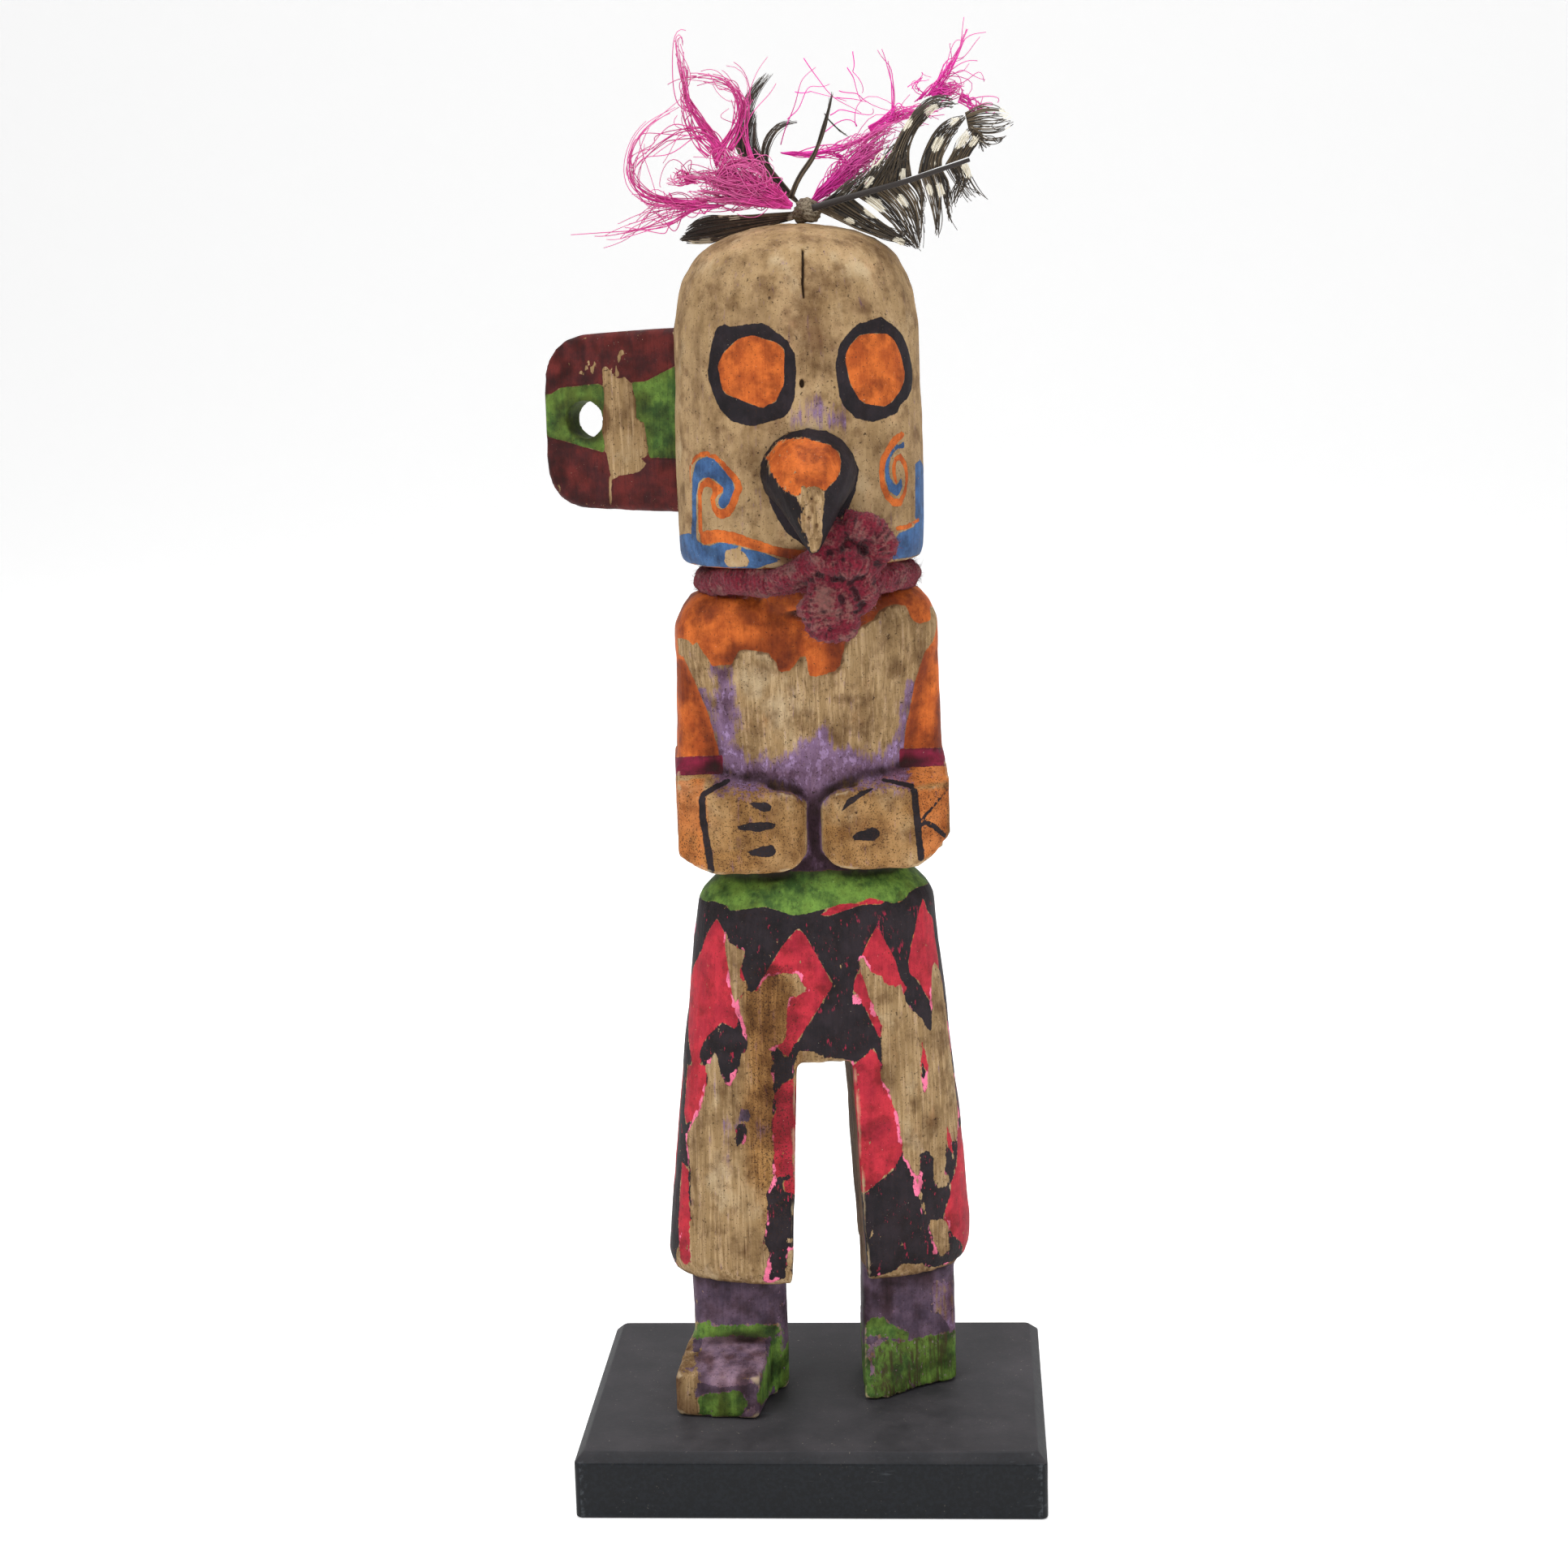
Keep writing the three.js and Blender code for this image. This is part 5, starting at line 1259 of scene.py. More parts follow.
def paint_body(job, x, y, z):
    lean = z + FRONT_LEAN * y
    here = (z > KILT_TOP) & (z < HEAD_BOTTOM + 0.4)
    front = here & (y < 6)

    drawn = drawing(x, lean, front, BODY_PAINT, BODY_STROKES)

    left = place_on_line(lean, BODY_LINES["chest_left"], 1)
    right = place_on_line(lean, BODY_LINES["chest_right"], 1)
    outer = np.maximum(left - x, x - right)
    arms = np.where(here, np.minimum(np.minimum(outer, lean - 144.6), 176 - lean), -FAR)
    shoulders = np.where(here & (y > 2), lean - 172 - 3 * np.sin(x * 0.38) - 1.2 * np.sin(x * 1.1), -FAR)
    job.brush("orange", arms)
    job.brush("orange", drawn("yoke"))
    job.brush("orange", np.where(front, lean - 176.2 + 0.4 * np.sin(x), -FAR))
    job.brush("orange", shoulders)
    band = np.minimum(abs(x) - 19.0, 2.0 - abs(lean - 143.0))
    job.brush("crimson", np.where(here, band, -FAR))
    for name in ("forearm_orange", "elbow_orange"):
        job.soft("rust", np.clip(drawn(name) + 1.0, 0, 1.7))
    job.soft("rust", np.where(front & (lean < 140), np.clip(-22.5 - x, 0, 1), 0))
    for name in ("dash_l1", "dash_l2", "dash_l3", "dash_r1", "dash_r2"):
        job.brush("charcoal", drawn(name))
    for name in BODY_STROKES:
        job.brush("charcoal", drawn(name))
    # Lilac washes on the chest, darkened inside with painted shade where the chest sinks in beside the
    # arms and between the fists
    for name in ("lilac_left", "lilac_middle"):
        job.soft("lilac", np.clip(drawn(name) + 1.4, 0, 3.6))
        job.soft("stain_and_shade", np.clip(drawn(name) * 0.5 - 0.6, 0, 0.9))
    # A lilac band across the foot of the chest, darkened as painted shade where the chest meets the
    # forearms
    hem = np.minimum(1.8 - abs(lean - 140.5) * 0.45, 21 - abs(x))
    job.soft("lilac", np.where(front, hem + 1.2, 0))
    job.soft("stain_and_shade", np.where(front, np.clip(hem * 0.7, 0, 1.2), 0))
    # Painted shade along the edges of the chest where it turns in to the arms, in lilac and then in brown
    sides = np.where(front & (lean > 139) & (lean < 160), 1.6 - abs(outer + 0.8), 0)
    job.soft("lilac", sides + 0.9 * (sides > 0))
    arm_shade = np.where(front & (lean < 166) & (lean > 145), 2.0 - abs(outer - 1.2) * 0.7, 0)
    job.soft("stain_and_shade", arm_shade)
    hands = here & (lean < 141.5) & ((y < -13) | (abs(x) > 17))
    job.soft("ochre", np.where(hands, 0.75, 0))
    rusty = lumps(np.stack([x, y, z], 1), 5, 33) * 2.2 - 0.2
    job.soft("ochre", np.where(hands, rusty, 0))
    job.soft("smooth", np.where(hands, 1.0, 0))
    job.soft("stain_and_shade", drawn("dark_under_yoke") + 0.8)
    # Lilac on the belly between the fists, darkened as painted shade in the recess
    waist = np.where(here & (y < 0) & (y > -12.5), np.minimum(139 - lean, 18 - abs(x)), -FAR)
    job.soft("lilac", np.clip(waist, 0, 3))
    job.soft("stain_and_shade", np.clip(waist * 0.5, 0, 1.2))
    burnt = lumps(np.stack([x, y, z], 1), 7, 21) * 2.8 + eased(lean, 150, 172) * 0.7 + 0.5
    job.soft("stain_and_shade", np.where(here & (job.coats["orange"] > -0.4), burnt, 0))
    smears = lumps(np.stack([x, y, z * 0.35], 1), 6, 11) * 3 - 1.2
    job.soft("lilac", np.where(here & (y > 2) & (abs(x) < 22) & (lean < 160), smears, 0))
    # Painted shade in the crooks of the arms, where the forearms meet the upper arms
    crook = 1.6 - abs(lean - 138.5) * 0.3 - np.clip(abs(abs(x) - 20), 0, 9) * 0.4
    job.soft("stain_and_shade", np.where(here, crook, 0))


def paint_kilt(job, x, y, z, facings):
    s = KILT_GIRTH(x, y)
    here = (z < KILT_TOP) & (z > HEM - 0.5)

    drawn = drawing(s, z, here, KILT_PAINT, KILT_STROKES)

    hem = place_on_line(s, GREEN_EDGE)
    waver = 0.6 * np.sin(s * 0.31) + 0.4 * np.sin(s * 0.83)
    hem = np.where(abs(s) > 39, 114.5 + waver, hem)
    job.brush("charcoal", np.where(here, 3.0, -FAR))
    behind = here & (abs(s) > 37.5)
    pitch = 19.4
    for row, (middle, tall) in enumerate(((95.5, 15.0), (61.0, 17.0), (33.0, 12.0))):
        shift = 0.5 * pitch * (row % 2)
        place = (abs(s) - 46.5 - shift + pitch / 2) % pitch - pitch / 2
        lozenge = 8.8 - abs(place) - 8.8 * abs(z - middle) / tall
        job.brush("red", np.where(behind, lozenge * 0.85, -FAR))
    patches = lumps(np.stack([x, y, z * 0.3], 1), 10, 5)
    patches = patches + 0.6 * lumps(np.stack([x, y, z * 0.35], 1), 4, 6)
    worn_hem = eased(z, 70, HEM) * 0.7
    job.brush("wood", np.where(behind & (z < 108), (patches + worn_hem - 0.62) * 5, -FAR))

    lay(job, drawn, KILT_LAYERS)
    job.brush("green", np.where(here, z - hem, -FAR))

    inner = here & (z < 82) & (abs(facings[:, 0]) > 0.6) & (abs(x) < 16) & (y > -14.5)
    inward = np.where(inner, np.clip(y + 14.5, 0, 3) - 1.0, -FAR)
    job.brush("wood", inward)
    # Painted shade on the walls of the slot between the legs
    job.soft("stain_and_shade", np.where(inner, 1.6, 0))
    under = here & (facings[:, 2] < -0.6)
    job.brush("wood", np.where(under, 1.0, -FAR))
    # Painted shade on the kilt's faces that turn downwards
    job.soft("stain_and_shade", np.where(under, 1.2, 0))
    job.soft("primer", np.where(here & (z < 112), 1.0, 0))
    job.soft("flaking", np.where(here, eased(z, 122, 80), 0))
    brown = lumps(np.stack([s, s * 0, z * 0.22], 1), 7, 8) * 1.4 - 1.0 - eased(z, 64, 48)
    job.soft("stain_and_shade", np.where(here & (z < 104), brown, 0))
    blush = 1.15 - abs(z - 65) / 4 - np.clip(abs(s + 17) - 5, 0, 9) / 2.5
    job.soft("lilac", np.where(here, blush, 0))
    amber = 1.9 - abs(s + 11.0) / 4.5 - np.clip(56 - z, 0, 40) / 16
    job.soft("ochre", np.where(here & (z < 102), amber, 0))
    job.soft("stain_and_shade", np.where(here & (z < 102) & (z > 60), np.clip(amber * 0.75, 0, 1.3), 0))
    job.soft("rust", np.where(here & (s > 9) & (s < 26) & (z > 103), 1.0, 0))


def paint_boots(job, x, y, z):
    lean = z + FRONT_LEAN * y
    here = z < HEM
    front = here & (y < 4)

    drawn = drawing(x, lean, front, BOOT_PAINT, {})

    job.brush("purple", np.where(here, 3.0, -FAR))
    low = 9.5 + 1.5 * np.sin(x * 0.5 + y * 0.35) - z
    job.brush("green", np.where(here & ((y > -8) | (x > 0)), low, -FAR))
    for name in ("boot_mauve", "boot_right_mauve", "toe_lilac", "toe_lilac_2"):
        job.brush("mauve", drawn(name))
    for name in ("boot_green_band", "toe_green", "boot_inner_green", "boot_right_green"):
        job.brush("green", drawn(name))
    for name in ("break_face", "break_side_green"):
        job.brush("green", drawn(name))
    job.brush("wood", drawn("ankle_bare"))
    job.brush("wood", drawn("break_sliver"))
    outer_side = np.where(front & (x < -20), np.minimum(-29.4 - x, 21 - z), -FAR)
    job.brush("wood", outer_side + 0.5 * np.sin(z * 0.9))
    streaks = lumps(np.stack([x, y, z * 0.25], 1), 2.4, 17) * 2.4 + 0.3
    job.soft("stain_and_shade", np.where(here, streaks, 0))
    torn = drawn("break_face")
    job.soft("fibres", np.clip(torn + 0.5, 0, 2))
    job.soft("stain_and_shade", np.clip(torn, 0, 0.7))
    job.soft("flaking", np.where(here, 1.6, 0))
    job.soft("lilac", np.where(here & (x > -28.6), 2.0, 0))
    toe_edge = 1.4 - abs(lean - 8.6) - np.clip(x + 12, 0, 9)
    job.brush("mauve", np.where(front & (y < -14) & (x < -10), toe_edge * 0.6, -FAR))


def refine_marks(doll):
    """A finer net round the crack in the brow and the small hole between the eyes."""
    middles = np.empty(len(doll.data.polygons) * 3, np.float32)
    doll.data.polygons.foreach_get("center", middles)
    x, y, z = to_doll(middles.reshape(-1, 3).astype(float) / MM).T
    s = HEAD_GIRTH(x, y)
    crack = (abs(s - 0.7) < 1.4) & (z > 241.5) & (z < 254) & (y < 0)
    hole = (np.hypot(s + 0.4, z - 225.7) < 1.8) & (y < 0)
    select_only(doll)
    bpy.ops.object.mode_set(mode="EDIT")
    bpy.ops.mesh.select_mode(type="FACE")
    bpy.ops.mesh.select_all(action="DESELECT")
    bpy.ops.object.mode_set(mode="OBJECT")
    doll.data.polygons.foreach_set("select", crack | hole)
    bpy.ops.object.mode_set(mode="EDIT")
    bpy.ops.mesh.subdivide(number_cuts=5)
    bpy.ops.object.mode_set(mode="OBJECT")
    smooth_faces(doll)


def make_doll(material):
    doll = carved_copy("doll", "carved_doll", DOLL_NET)
    refine_marks(doll)
    points = mesh_points(doll)
    facings = mesh_facings(doll)
    own = to_doll(points)
    x, y, z = own.T
    job = PaintJob(len(points))
    job.brush("wood", np.full(len(points), 3.0))
    paint_body(job, x, y, z)
    turned = to_doll(facings + DOLL_PLACE)
    paint_kilt(job, x, y, z, turned)
    paint_boots(job, x, y, z)
    crack, hole = paint_head(job, x, y, z)

    bend = sharpness(doll, points, facings, 1)
    job.marks["edge"] = np.clip(bend / 0.1, -1.5, 1.5)
    # Painted shade for the hollows, from how far the surface sinks below its neighbours
    job.soft("hollow", -sharpness(doll, points, facings, 9) / 0.035)
    depth = 0.16 * lumps(own, 9, 2) + 0.07 * lumps(own, 3.2, 3)
    bare = np.clip(job.coats["wood"], 0, 1)
    depth += bare * 0.13 * lumps(own, (1.5, 1.5, 24), 4)
    torn = job.marks["fibres"]
    depth += torn * (0.22 * lumps(own, (1.6, 1.6, 9), 7) + 0.12 * lumps(own, (0.9, 0.9, 4), 9))
    above_crack = (y < 0) & (z > 240)
    crack += 0.08 * lumps(own, 0.6, 15)
    depth -= 0.8 * np.where(above_crack, eased(crack, -0.28, 0.1), 0)
    depth -= 1.0 * np.where((y < 0) & (z > 220), eased(hole, 1.5, 0.8), 0)
    chipped = eased(lumps(own, 1.8, 12), 0.35, 0.8) * np.clip(job.marks["edge"], 0, 1)
    depth -= 0.28 * chipped
    job.soft("crack", np.where((y < 0) & (z > 220), eased(hole, 1.4, 0.9), 0))
    job.soft("crack", np.where(above_crack, eased(crack, -0.2, 0.05), 0))
    move_points(doll, points + facings * depth[:, None])
    job.write(doll)
    settle(doll, "doll", material)


def make_beak(material):
    beak = carved_copy("beak", "carved_beak", BEAK_NET, 2)
    points = mesh_points(beak)
    facings = mesh_facings(beak)
    own = to_doll(points)
    x, y, z = own.T
    job = PaintJob(len(points))
    job.brush("charcoal", np.full(len(points), 3.0))
    front = y < -24.0
    job.brush("orange", np.where(front, inside(x, z, BEAK_PAINT["beak_orange"]), -FAR))
    bare = np.where(front, inside(x, z, BEAK_PAINT["beak_bare"]), -FAR)
    job.brush("wood", bare)
    job.soft("stain_and_shade", np.where((x < -1.0) & (job.coats["charcoal"] > 0), 1.2, 0))
    job.soft("flaking", np.where(x < -1.0, 2.2, 0.4))
    bend = sharpness(beak, points, facings, 1)
    job.marks["edge"] = np.clip(bend / 0.06, -1.5, 1.0) * 0.5
    depth = 0.1 * lumps(own, 4, 2) + 0.04 * lumps(own, 1.4, 3)
    pits = eased(lumps(own, (0.9, 0.9, 1.5), 5), 0.3, 0.8)
    depth -= 0.28 * pits * np.clip(bare, 0, 1)
    depth -= 0.16 * eased(bare, -0.3, 0.3)
    job.soft("stain_and_shade", 1.8 * pits * np.clip(bare, 0, 1))
    move_points(beak, points + facings * depth[:, None])
    job.write(beak)
    settle(beak, "beak", material)


def make_ear(material):
    ear = carved_copy("ear", "pierced_ear", EAR_NET, 2)
    points = mesh_points(ear)
    facings = mesh_facings(ear)
    own = to_doll(points)
    across = (own[:, 0] + 0.3) * np.cos(EAR_SWEEP) - own[:, 1] * np.sin(EAR_SWEEP)
    z = own[:, 2]
    job = PaintJob(len(points))
    job.brush("maroon", np.full(len(points), 3.0))
    for name in ("ear_green_right", "ear_green_left"):
        job.brush("green", inside(across, z, EAR_PAINT[name]))
    job.brush("wood", inside(across, z, EAR_PAINT["ear_bare"]))
    job.brush("wood", under_brush(across, z, EAR_STRIP))
    scatter = lumps(np.stack([across, z, z * 0], 1), (0.45, 1.1, 1), 6) * 1.5 - 0.35
    for name in ("ear_flecks", "ear_flecks_left"):
        job.brush("wood", np.minimum(inside(across, z, EAR_PAINT[name]), scatter))
    bend = sharpness(ear, points, facings, 1)
    from_hole = np.hypot(across - EAR_HOLE[0], z - EAR_HOLE[1])
    job.marks["edge"] = np.clip(bend / 0.06, -1.0, 1.6) * eased(from_hole, 5.5, 7)
    job.soft("flaking", np.clip(job.marks["edge"], 0, 1))
    job.soft("stain_and_shade", 2.2 * eased(from_hole, 6.2, 4.2))
    job.soft("stain_and_shade", np.where(job.coats["green"] > -0.3, 0.85 + 0.8 * lumps(own, 3.0, 19), 0))
    job.soft("stain_and_shade", eased(across, -45, -48) * (0.9 + 1.8 * lumps(own, 2.6, 14)))
    depth = 0.12 * lumps(own, 7, 2) + 0.05 * lumps(own, 2.4, 3)
    depth -= 0.35 * eased(lumps(own, 2.2, 9), 0.1, 0.8) * np.clip(job.marks["edge"], 0, 1)
    move_points(ear, points + facings * depth[:, None])
    job.write(ear)
    settle(ear, "ear", material)


def make_plinth(material):
    """The block keeps its sawn faces. Its corners are rubbed over and nicked."""
    plinth = welded_copy("plinth", "plinth_block")
    edit_whole(plinth)
    bpy.ops.mesh.dissolve_limited(angle_limit=np.radians(2))
    bpy.ops.object.mode_set(mode="OBJECT")
    rubbed = plinth.modifiers.new("rubbed_corners", "BEVEL")
    rubbed.width = PLINTH_CORNER * MM
    rubbed.segments = 3
    rubbed.limit_method = "ANGLE"
    rubbed.angle_limit = np.radians(15)
    apply_all(plinth)
    edit_whole(plinth)
    bpy.ops.mesh.quads_convert_to_tris()
    for _ in range(5):
        bpy.ops.mesh.select_all(action="DESELECT")
        bpy.ops.object.mode_set(mode="OBJECT")
        points = mesh_points(plinth)
        ends = np.empty(len(plinth.data.edges) * 2, np.int32)
        plinth.data.edges.foreach_get("vertices", ends)
        a, b = points[ends.reshape(-1, 2)].transpose(1, 0, 2)
        plinth.data.edges.foreach_set("select", np.linalg.norm(a - b, axis=1) > PLINTH_NET)
        bpy.ops.object.mode_set(mode="EDIT")
        bpy.ops.mesh.select_mode(type="EDGE")
        bpy.ops.mesh.subdivide(number_cuts=1)
    bpy.ops.mesh.select_mode(type="VERT")
    bpy.ops.object.mode_set(mode="OBJECT")
    points = mesh_points(plinth)
    facings = mesh_facings(plinth)
    bend = sharpness(plinth, points, facings, 0)
    edge = np.clip(bend / 0.12, -1, 1.5)
    nicks = eased(lumps(points, 2.2, 9), 0.35, 0.9) * np.clip(edge, 0, 1)
    depth = -0.25 * nicks * (points[:, 2] > 1.0)
    move_points(plinth, points + facings * depth[:, None])
    select_only(plinth)
    bpy.ops.object.shade_smooth_by_angle(angle=np.radians(32))
    write_marks(plinth, "edge", edge)
    settle(plinth, "plinth", material)


def drawn_line(points, count, rounds=2):
    """A row of points made into `count` even steps, with its corners eased."""
    points = np.asarray(points, float)
    for _ in range(rounds):
        cut = [points[:1]]
        for a, b in zip(points[:-1], points[1:]):
            cut.append(np.stack([0.75 * a + 0.25 * b, 0.25 * a + 0.75 * b]))
        points = np.concatenate(cut + [points[-1:]])
    travelled = np.r_[0, np.cumsum(np.linalg.norm(np.diff(points, axis=0), axis=1))]
    steps = np.linspace(0, travelled[-1], count)
    return np.stack([np.interp(steps, travelled, points[:, axis]) for axis in range(points.shape[1])], 1)


def tubes(name, lines, radii, sides=3, flat=1.0, marks=None):
    """Closed tapering tubes along many lines of equal count. lines is (tubes, steps, 3), mm."""
    lines = np.asarray(lines, float)
    many, steps, _ = lines.shape
    ahead = np.gradient(lines, axis=1)
    ahead /= np.linalg.norm(ahead, axis=2, keepdims=True) + 1e-9
    level = np.cross(ahead, (0.05, 1.0, 0.1))
    level /= np.linalg.norm(level, axis=2, keepdims=True) + 1e-9
    rise = np.cross(level, ahead)
    angle = np.arange(sides) * 2 * np.pi / sides
    radii = np.broadcast_to(np.asarray(radii, float)[..., None, None], (many, steps, 1, 1))
    ring = level[:, :, None] * np.cos(angle)[:, None] + rise[:, :, None] * np.sin(angle)[:, None] * flat
    points = (lines[:, :, None] + ring * radii).reshape(-1, 3)
    first = (np.arange(many)[:, None, None] * steps + np.arange(steps - 1)[:, None]) * sides
    side = np.arange(sides)
    quads = np.stack([
        first + side,
        first + sides + side,
        first + sides + (side + 1) % sides,
        first + (side + 1) % sides,
    ], 3).reshape(-1, 4)
    start = np.arange(many)[:, None] * steps * sides
    near = start + side
    far = start + (steps - 1) * sides + side[::-1]
    faces = quads.tolist() + near.tolist() + far.tolist()
    mesh = bpy.data.meshes.new(name)
    mesh.from_pydata((points * MM).tolist(), [], faces)
    piece = bpy.data.objects.new(name, mesh)
    bpy.context.collection.objects.link(piece)
    smooth_faces(piece)
    for mark, values in (marks or {}).items():
        spread = np.broadcast_to(np.asarray(values, float)[..., None], (many, steps, sides))
        write_marks(piece, mark, spread.reshape(-1))
    return piece


def join(pieces, name):
    select_only(pieces[0])
    for piece in pieces:
        piece.select_set(True)
    bpy.ops.object.join()
    pieces[0].name = name
    return pieces[0]


def facing_out(piece):
    edit_whole(piece)
    bpy.ops.mesh.normals_make_consistent(inside=False)
    bpy.ops.object.mode_set(mode="OBJECT")


# Neck cord, in the doll's own mm: a ring of twisted yarn and the strands of its knot
CORD_MIDDLE = (0.9, 0.0, 183.6)
CORD_RING = 21.2
CORD_TILT = np.radians(4)
RIB_STEP = 0.95


def ribbed_strand(path, radius, turns, squash=1.0, rib=0.05):
    """One plump strand with the ridges of its twist, as points and faces."""
    length = np.linalg.norm(np.diff(np.asarray(path), axis=0), axis=1).sum()
    count = max(int(length / 0.34), 12)
    line = drawn_line(path, count)
    along = np.linspace(0, length, count)
    radius = np.interp(np.linspace(0, 1, count), np.linspace(0, 1, len(radius)), radius)
    ahead = np.gradient(line, axis=0)
    ahead /= np.linalg.norm(ahead, axis=1, keepdims=True)
    level = np.cross(ahead, (0.1, 1.0, 0.2))
    level /= np.linalg.norm(level, axis=1, keepdims=True)
    rise = np.cross(level, ahead)
    sides = 36
    angle = np.arange(sides) * 2 * np.pi / sides
    ridge = np.sin(2 * np.pi * along[:, None] / RIB_STEP + turns * angle)
    wide = radius[:, None] * (1 + rib * ridge)
    ring = level[:, None] * (np.cos(angle) * wide)[..., None]
    ring = ring + rise[:, None] * (np.sin(angle) * wide)[..., None] * squash
    return line[:, None] + ring, np.broadcast_to(ridge, ring.shape[:2])


def ply_of(points, strands):
    """How near each point lies to a ridge of the twist, from the nearest strand."""
    rings = np.concatenate([ring.reshape(-1, 3) for ring, _ in strands])
    ridges = np.concatenate([ridge.ravel() for _, ridge in strands])
    near = KDTree(len(rings))
    for number, spot in enumerate(rings.tolist()):
        near.insert(spot, number)
    near.balance()
    return ridges[[near.find(spot)[1] for spot in points.tolist()]]


def strand_piece(name, rings, closed):
    count, sides, _ = rings.shape
    last = count if closed else count - 1
    faces = []
    for i in range(last):
        a, b = i * sides, (i + 1) % count * sides
        faces += [(a + j, b + j, b + (j + 1) % sides, a + (j + 1) % sides) for j in range(sides)]
    if not closed:
        faces += [tuple(range(sides)), tuple((count - 1) * sides + j for j in reversed(range(sides)))]
    mesh = bpy.data.meshes.new(name)
    mesh.from_pydata((rings.reshape(-1, 3) * MM).tolist(), [], faces)
    piece = bpy.data.objects.new(name, mesh)
    bpy.context.collection.objects.link(piece)
    return piece


def make_cord(material):
    turn = np.linspace(0, 2 * np.pi, 90)
    ring = np.stack([
        CORD_MIDDLE[0] + CORD_RING * np.cos(turn),
        CORD_RING * np.sin(turn),
        CORD_MIDDLE[2] - CORD_RING * np.sin(turn) * np.sin(CORD_TILT),
    ], 1)
    ring[:, 2] += 0.35 * np.sin(3 * turn + 1) + 0.25 * np.sin(7 * turn)
    thick = 3.0 + 0.22 * np.sin(5 * turn) + 0.35 * np.exp(-((turn - 4.7) / 0.8) ** 2)
    strands = [ribbed_strand(from_doll(ring), thick, 1, 1.0, 0.06)]
    for text, radius, turns, squash in KNOT_STRANDS.values():
        strands.append(ribbed_strand(spots_of(text), radius, turns, squash))
    cord = join([strand_piece("strand", rings, False) for rings, _ in strands], "neck_cord_yarn")
    facing_out(cord)
    remesh = cord.modifiers.new("net", "REMESH")
    remesh.mode = "VOXEL"
    remesh.voxel_size = YARN_NET * MM
    apply_all(cord)
    points = mesh_points(cord)
    facings = mesh_facings(cord)
    ply = ply_of(points, strands)
    depth = 0.3 * lumps(points, 1.4, 3) + 0.16 * lumps(points, 0.75, 4) + 0.6 * lumps(points, 3.2, 5)
    depth += 0.07 * ply
    points = points + facings * depth[:, None]
    move_points(cord, points)
    smooth_faces(cord)
    write_marks(cord, "edge", np.clip(sharpness(cord, points, facings, 7) / 0.025, -1.5, 1.5))
    write_marks(cord, "ply", ply)
    hollow_top = 5.2 - np.linalg.norm((points - (8.0, -31.0, 198.0)) * (1, 0.5, 1.1), axis=1)
    write_marks(cord, "faded", np.clip(hollow_top / 3, 0, 1.2))
    fuzz = yarn_fuzz(points, mesh_facings(cord))
    cord = join([cord, fuzz], "neck_cord_yarn")
    settle(cord, "neck_cord", material)


def yarn_fuzz(points, facings):
    """Loose fibres that stand off the yarn."""
    rng = np.random.default_rng(41)
    roots = rng.choice(len(points), FUZZ_COUNT, replace=False)
    steps = 4
    share = np.linspace(0, 1, steps)[None, :, None]
    aim = facings[roots] * 0.55 + rng.normal(0, 0.6, (len(roots), 3))
    aim /= np.linalg.norm(aim, axis=1, keepdims=True)
    curl = rng.normal(0, 0.5, (len(roots), 3))
    reach = rng.uniform(0.5, 1.5, (len(roots), 1, 1))
    lines = points[roots][:, None] + (aim[:, None] * share + curl[:, None] * share ** 2 * 0.6) * reach
    radii = 0.045 * (1 - 0.6 * np.linspace(0, 1, steps))[None]
    faded = rng.uniform(0, 0.6, (len(roots), 1))
    marks = {"edge": 0.4, "faded": faded, "ply": rng.uniform(-1, 1, (len(roots), 1))}
    return tubes("fuzz", lines, radii, 3, 1.0, marks)


def make_tie(material):
    tie = carved_copy("topknot_tie", "thread_tie", TIE_NET, 2)
    points = mesh_points(tie)
    facings = mesh_facings(tie)
    wraps = np.sin(points[:, 2] * 6.5 + points[:, 0] * 1.4) * 0.12
    depth = wraps + 0.22 * lumps(points, 1.2, 3)
    move_points(tie, points + facings * depth[:, None])
    write_marks(tie, "edge", np.clip(sharpness(tie, points, facings) / 0.04, -1, 1))
    settle(tie, "topknot_tie", material)


# Feathers, mm from the tie. A clump is filled with barbs between its first and last line.
TIE_POINT = np.array([4.2, 0.0, 276.0])


def clump(first, last, count, steps, rng, depth, wave=0.0, short=0.12):
    """Lines across a clump from its first drawn line to its last, each with its own slack."""
    first = drawn_line(spots_of(first), steps)
    last = drawn_line(spots_of(last), steps)
    share = (np.arange(count) + rng.uniform(-0.35, 0.35, count)) / max(count - 1, 1)
    share = np.clip(share, -0.03, 1.03)[:, None, None]
    flat = first[None] * (1 - share) + last[None] * share
    along = np.linspace(0, 1, steps)[None, :, None]
    reach = 1 - rng.uniform(0, short, (count, 1, 1))
    whole = np.linspace(0, 1, steps)
    cut = np.empty_like(flat)
    for i in range(count):
        seen = whole * reach[i, 0, 0]
        cut[i, :, 0] = np.interp(seen, whole, flat[i, :, 0])
        cut[i, :, 1] = np.interp(seen, whole, flat[i, :, 1])
    phase = rng.uniform(0, 2 * np.pi, (count, 1, 2))
    pace = rng.uniform(3, 11, (count, 1, 2))
    slack = wave * np.clip(rng.exponential(1.0, (count, 1, 1)), 0.15, 3.2)
    cut = cut + slack * along * np.sin(along * pace + phase)
    low, high = depth
    deep = rng.uniform(low, high, (count, 1)) * along[..., 0] + (low + high) / 2 * (1 - along[..., 0])
    deep = deep + wave * 0.6 * along[..., 0] * np.sin(along[..., 0] * pace[..., 0] * 1.3 + phase[..., 1])
    return np.stack([cut[..., 0] + TIE_POINT[0], deep, cut[..., 1] + TIE_POINT[2]], 2)


def tapered(count, steps, root, tip, rng, vary=0.15):
    share = np.linspace(0, 1, steps)[None]
    return (root + (tip - root) * share) * (1 + rng.uniform(-vary, vary, (count, 1)))


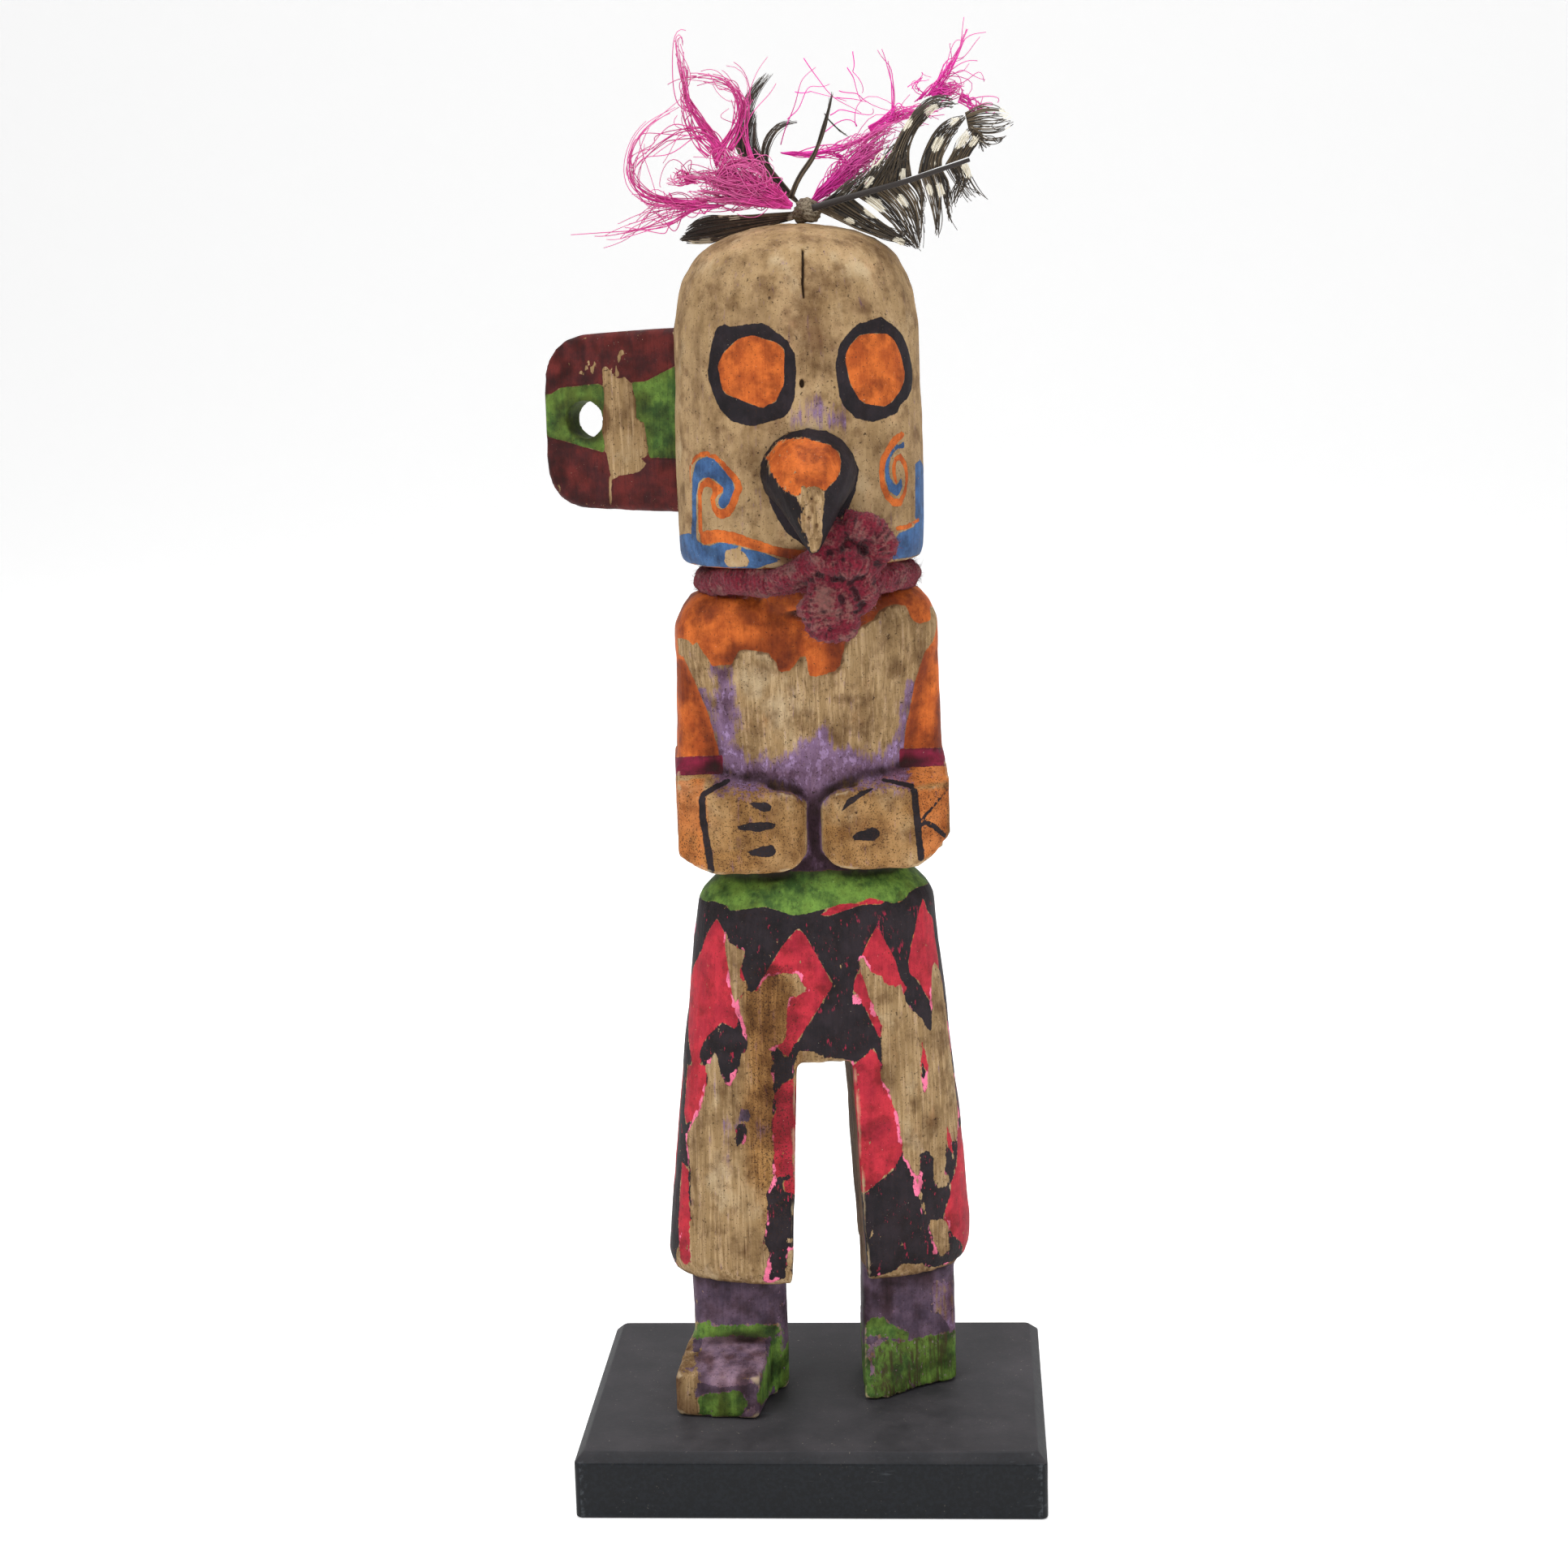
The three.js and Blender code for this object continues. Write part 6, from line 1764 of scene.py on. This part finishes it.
def spot_marks(lines, size):
    """Cream marks, each drawn out along the barbs that it crosses."""
    seen = lines[..., (0, 2)] - TIE_POINT[[0, 2]]
    ahead = np.gradient(seen, axis=1)
    ahead /= np.linalg.norm(ahead, axis=2, keepdims=True) + 1e-9
    away = np.full(seen.shape[:2], 99.0)
    for number, spot in enumerate(spots_of(CREAM_SPOTS)):
        off = (seen - spot) * (1.0 + 0.3 * np.sin(number * 2.4))
        along = (off * ahead).sum(2)
        across = off[..., 0] * ahead[..., 1] - off[..., 1] * ahead[..., 0]
        away = np.minimum(away, np.hypot(along * 0.6, across * 1.2))
    return eased(away, size * 1.25, size * 0.7)


def feather_piece(name, node, clumps, material, seed, steps, depth, root, tip,
                  spots=0.0, wave=0.1, short=0.12):
    """One feather: tubes of radius root to tip, their length cut by up to the share `short`."""
    rng = np.random.default_rng(seed)
    made = []
    for number, (first, last, count) in enumerate(clumps.values()):
        lines = clump(first, last, count, steps, rng, depth, wave, short)
        marks = {
            "along": np.linspace(0, 1, steps)[None],
            "own_tone": rng.uniform(0, 1, (count, 1)),
            "spot": spot_marks(lines, spots) if spots else 0.0,
        }
        radii = tapered(count, steps, root, tip, rng)
        made.append(tubes(f"{name}_{number}", lines, radii, 3, 0.7, marks))
    piece = join(made, name)
    facing_out(piece)
    settle(piece, node, material)
    return piece


def quill_piece(name, text, root, tip, depth, material, sides=6):
    """The stiff shaft of a feather."""
    line = drawn_line(spots_of(text), 30)
    points = np.stack([line[:, 0] + TIE_POINT[0], np.full(30, depth), line[:, 1] + TIE_POINT[2]], 1)[None]
    marks = {"along": 0.0, "own_tone": 0.9, "spot": 0.0}
    piece = tubes(name, points, tapered(1, 30, root, tip, np.random.default_rng(1), 0), sides, 1, marks)
    facing_out(piece)
    piece.data.materials.append(material)
    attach(piece, "root")
    return piece


def make_topknot():
    spotted = feather("spotted_feather_barbs", (104, 88, 66), (32, 26, 21), (58, 50, 42), (232, 224, 204))
    dark = feather("dark_feather_barbs", (108, 90, 68), (30, 24, 20), (50, 42, 36), (196, 184, 158))
    bright_pink = feather("bright_plume_strands", (240, 64, 182), (210, 26, 148), (218, 100, 166))
    quill = feather("feather_quills", (38, 31, 28), (20, 17, 16), (60, 50, 42))
    pink = feather("dyed_plume_strands", (230, 74, 164), (188, 26, 120), (216, 104, 160))
    feather_piece("guinea_right_barbs", "guinea_feather_right", GUINEA_RIGHT, spotted, seed=3,
                  steps=26, depth=(-2.2, 0.4), root=0.17, tip=0.09, spots=0.95, wave=0.28, short=0.3)
    quill_piece("guinea_right_quill", GUINEA_RIGHT_QUILL, root=0.75, tip=0.42, depth=-2.6, material=quill)
    feather_piece("guinea_left_barbs", "guinea_feather_left", GUINEA_LEFT, dark, seed=5,
                  steps=14, depth=(5.4, 7.2), root=0.22, tip=0.1, spots=0.7)
    feather_piece("hackle_left_barbs", "dark_hackle_left", HACKLE_LEFT, dark, seed=7,
                  steps=16, depth=(6.0, 11.0), root=0.24, tip=0.07)
    feather_piece("hackle_mid_barbs", "dark_hackle_mid", HACKLE_MID, dark, seed=9,
                  steps=16, depth=(1.2, 2.4), root=0.14, tip=0.05)
    feather_piece("pink_left_strands", "pink_plume_left", PINK_LEFT, pink, seed=11,
                  steps=26, depth=(-3.8, -0.4), root=0.16, tip=0.1, wave=1.3, short=0.45)
    feather_piece("pink_right_strands", "pink_plume_right", PINK_RIGHT, bright_pink, seed=13,
                  steps=22, depth=(5.2, 8.0), root=0.16, tip=0.1, wave=1.2, short=0.4)


def white_floor():
    finish = Finish("plain_pale_floor")
    shader = finish.node("ShaderNodeBsdfPrincipled", None, {
        "Base Color": tint(250, 250, 250), "Roughness": 0.9, "Specular IOR Level": 0.0,
        "Emission Color": (1.0, 1.0, 1.0, 1.0), "Emission Strength": 0.33,
    })
    finish.node("ShaderNodeOutputMaterial", None, {"Surface": shader.outputs[0]})
    return finish.material


def make_studio():
    bpy.ops.object.select_all(action="DESELECT")
    bpy.ops.mesh.primitive_plane_add(size=6, location=(0, 0, 0))
    floor = bpy.context.object
    floor.name = "floor"
    bpy.ops.object.mode_set(mode="EDIT")
    bpy.ops.mesh.select_all(action="DESELECT")
    bpy.ops.object.mode_set(mode="OBJECT")
    for edge in floor.data.edges:
        ends = [floor.data.vertices[v].co for v in edge.vertices]
        edge.select = all(end.y > 2.9 for end in ends)
    for vertex in floor.data.vertices:
        vertex.select = vertex.co.y > 2.9
    bpy.ops.object.mode_set(mode="EDIT")
    bpy.ops.mesh.extrude_region_move(TRANSFORM_OT_translate={"value": (0, 0, 4)})
    bpy.ops.object.mode_set(mode="OBJECT")
    round_off = floor.modifiers.new("sweep", "BEVEL")
    round_off.width = 1.2
    round_off.segments = 16
    round_off.limit_method = "ANGLE"
    apply_all(floor)
    smooth_faces(floor)
    floor.data.materials.append(white_floor())
    middle = (0, 0, 0.15)
    soft_light("key_left", (-0.9, -1.1, 1.2), middle, 0.8, 14)
    soft_light("fill_right", (1.1, -0.9, 0.9), middle, 0.9, 9)
    soft_light("top", (0, 0.1, 1.6), middle, 1.0, 16)
    world = bpy.data.worlds.new("studio")
    world.use_nodes = True
    world.node_tree.nodes["Background"].inputs["Color"].default_value = (1, 1, 1, 1)
    world.node_tree.nodes["Background"].inputs["Strength"].default_value = 0.36
    scene = bpy.context.scene
    scene.world = world
    scene.view_settings.view_transform = "Standard"


make_camera()
make_studio()
PAINT = worn_paint()
make_doll(PAINT)
make_beak(PAINT)
make_ear(PAINT)
make_plinth(dusty_black())
make_cord(crimson_yarn())
make_tie(tie_thread())
make_topknot()
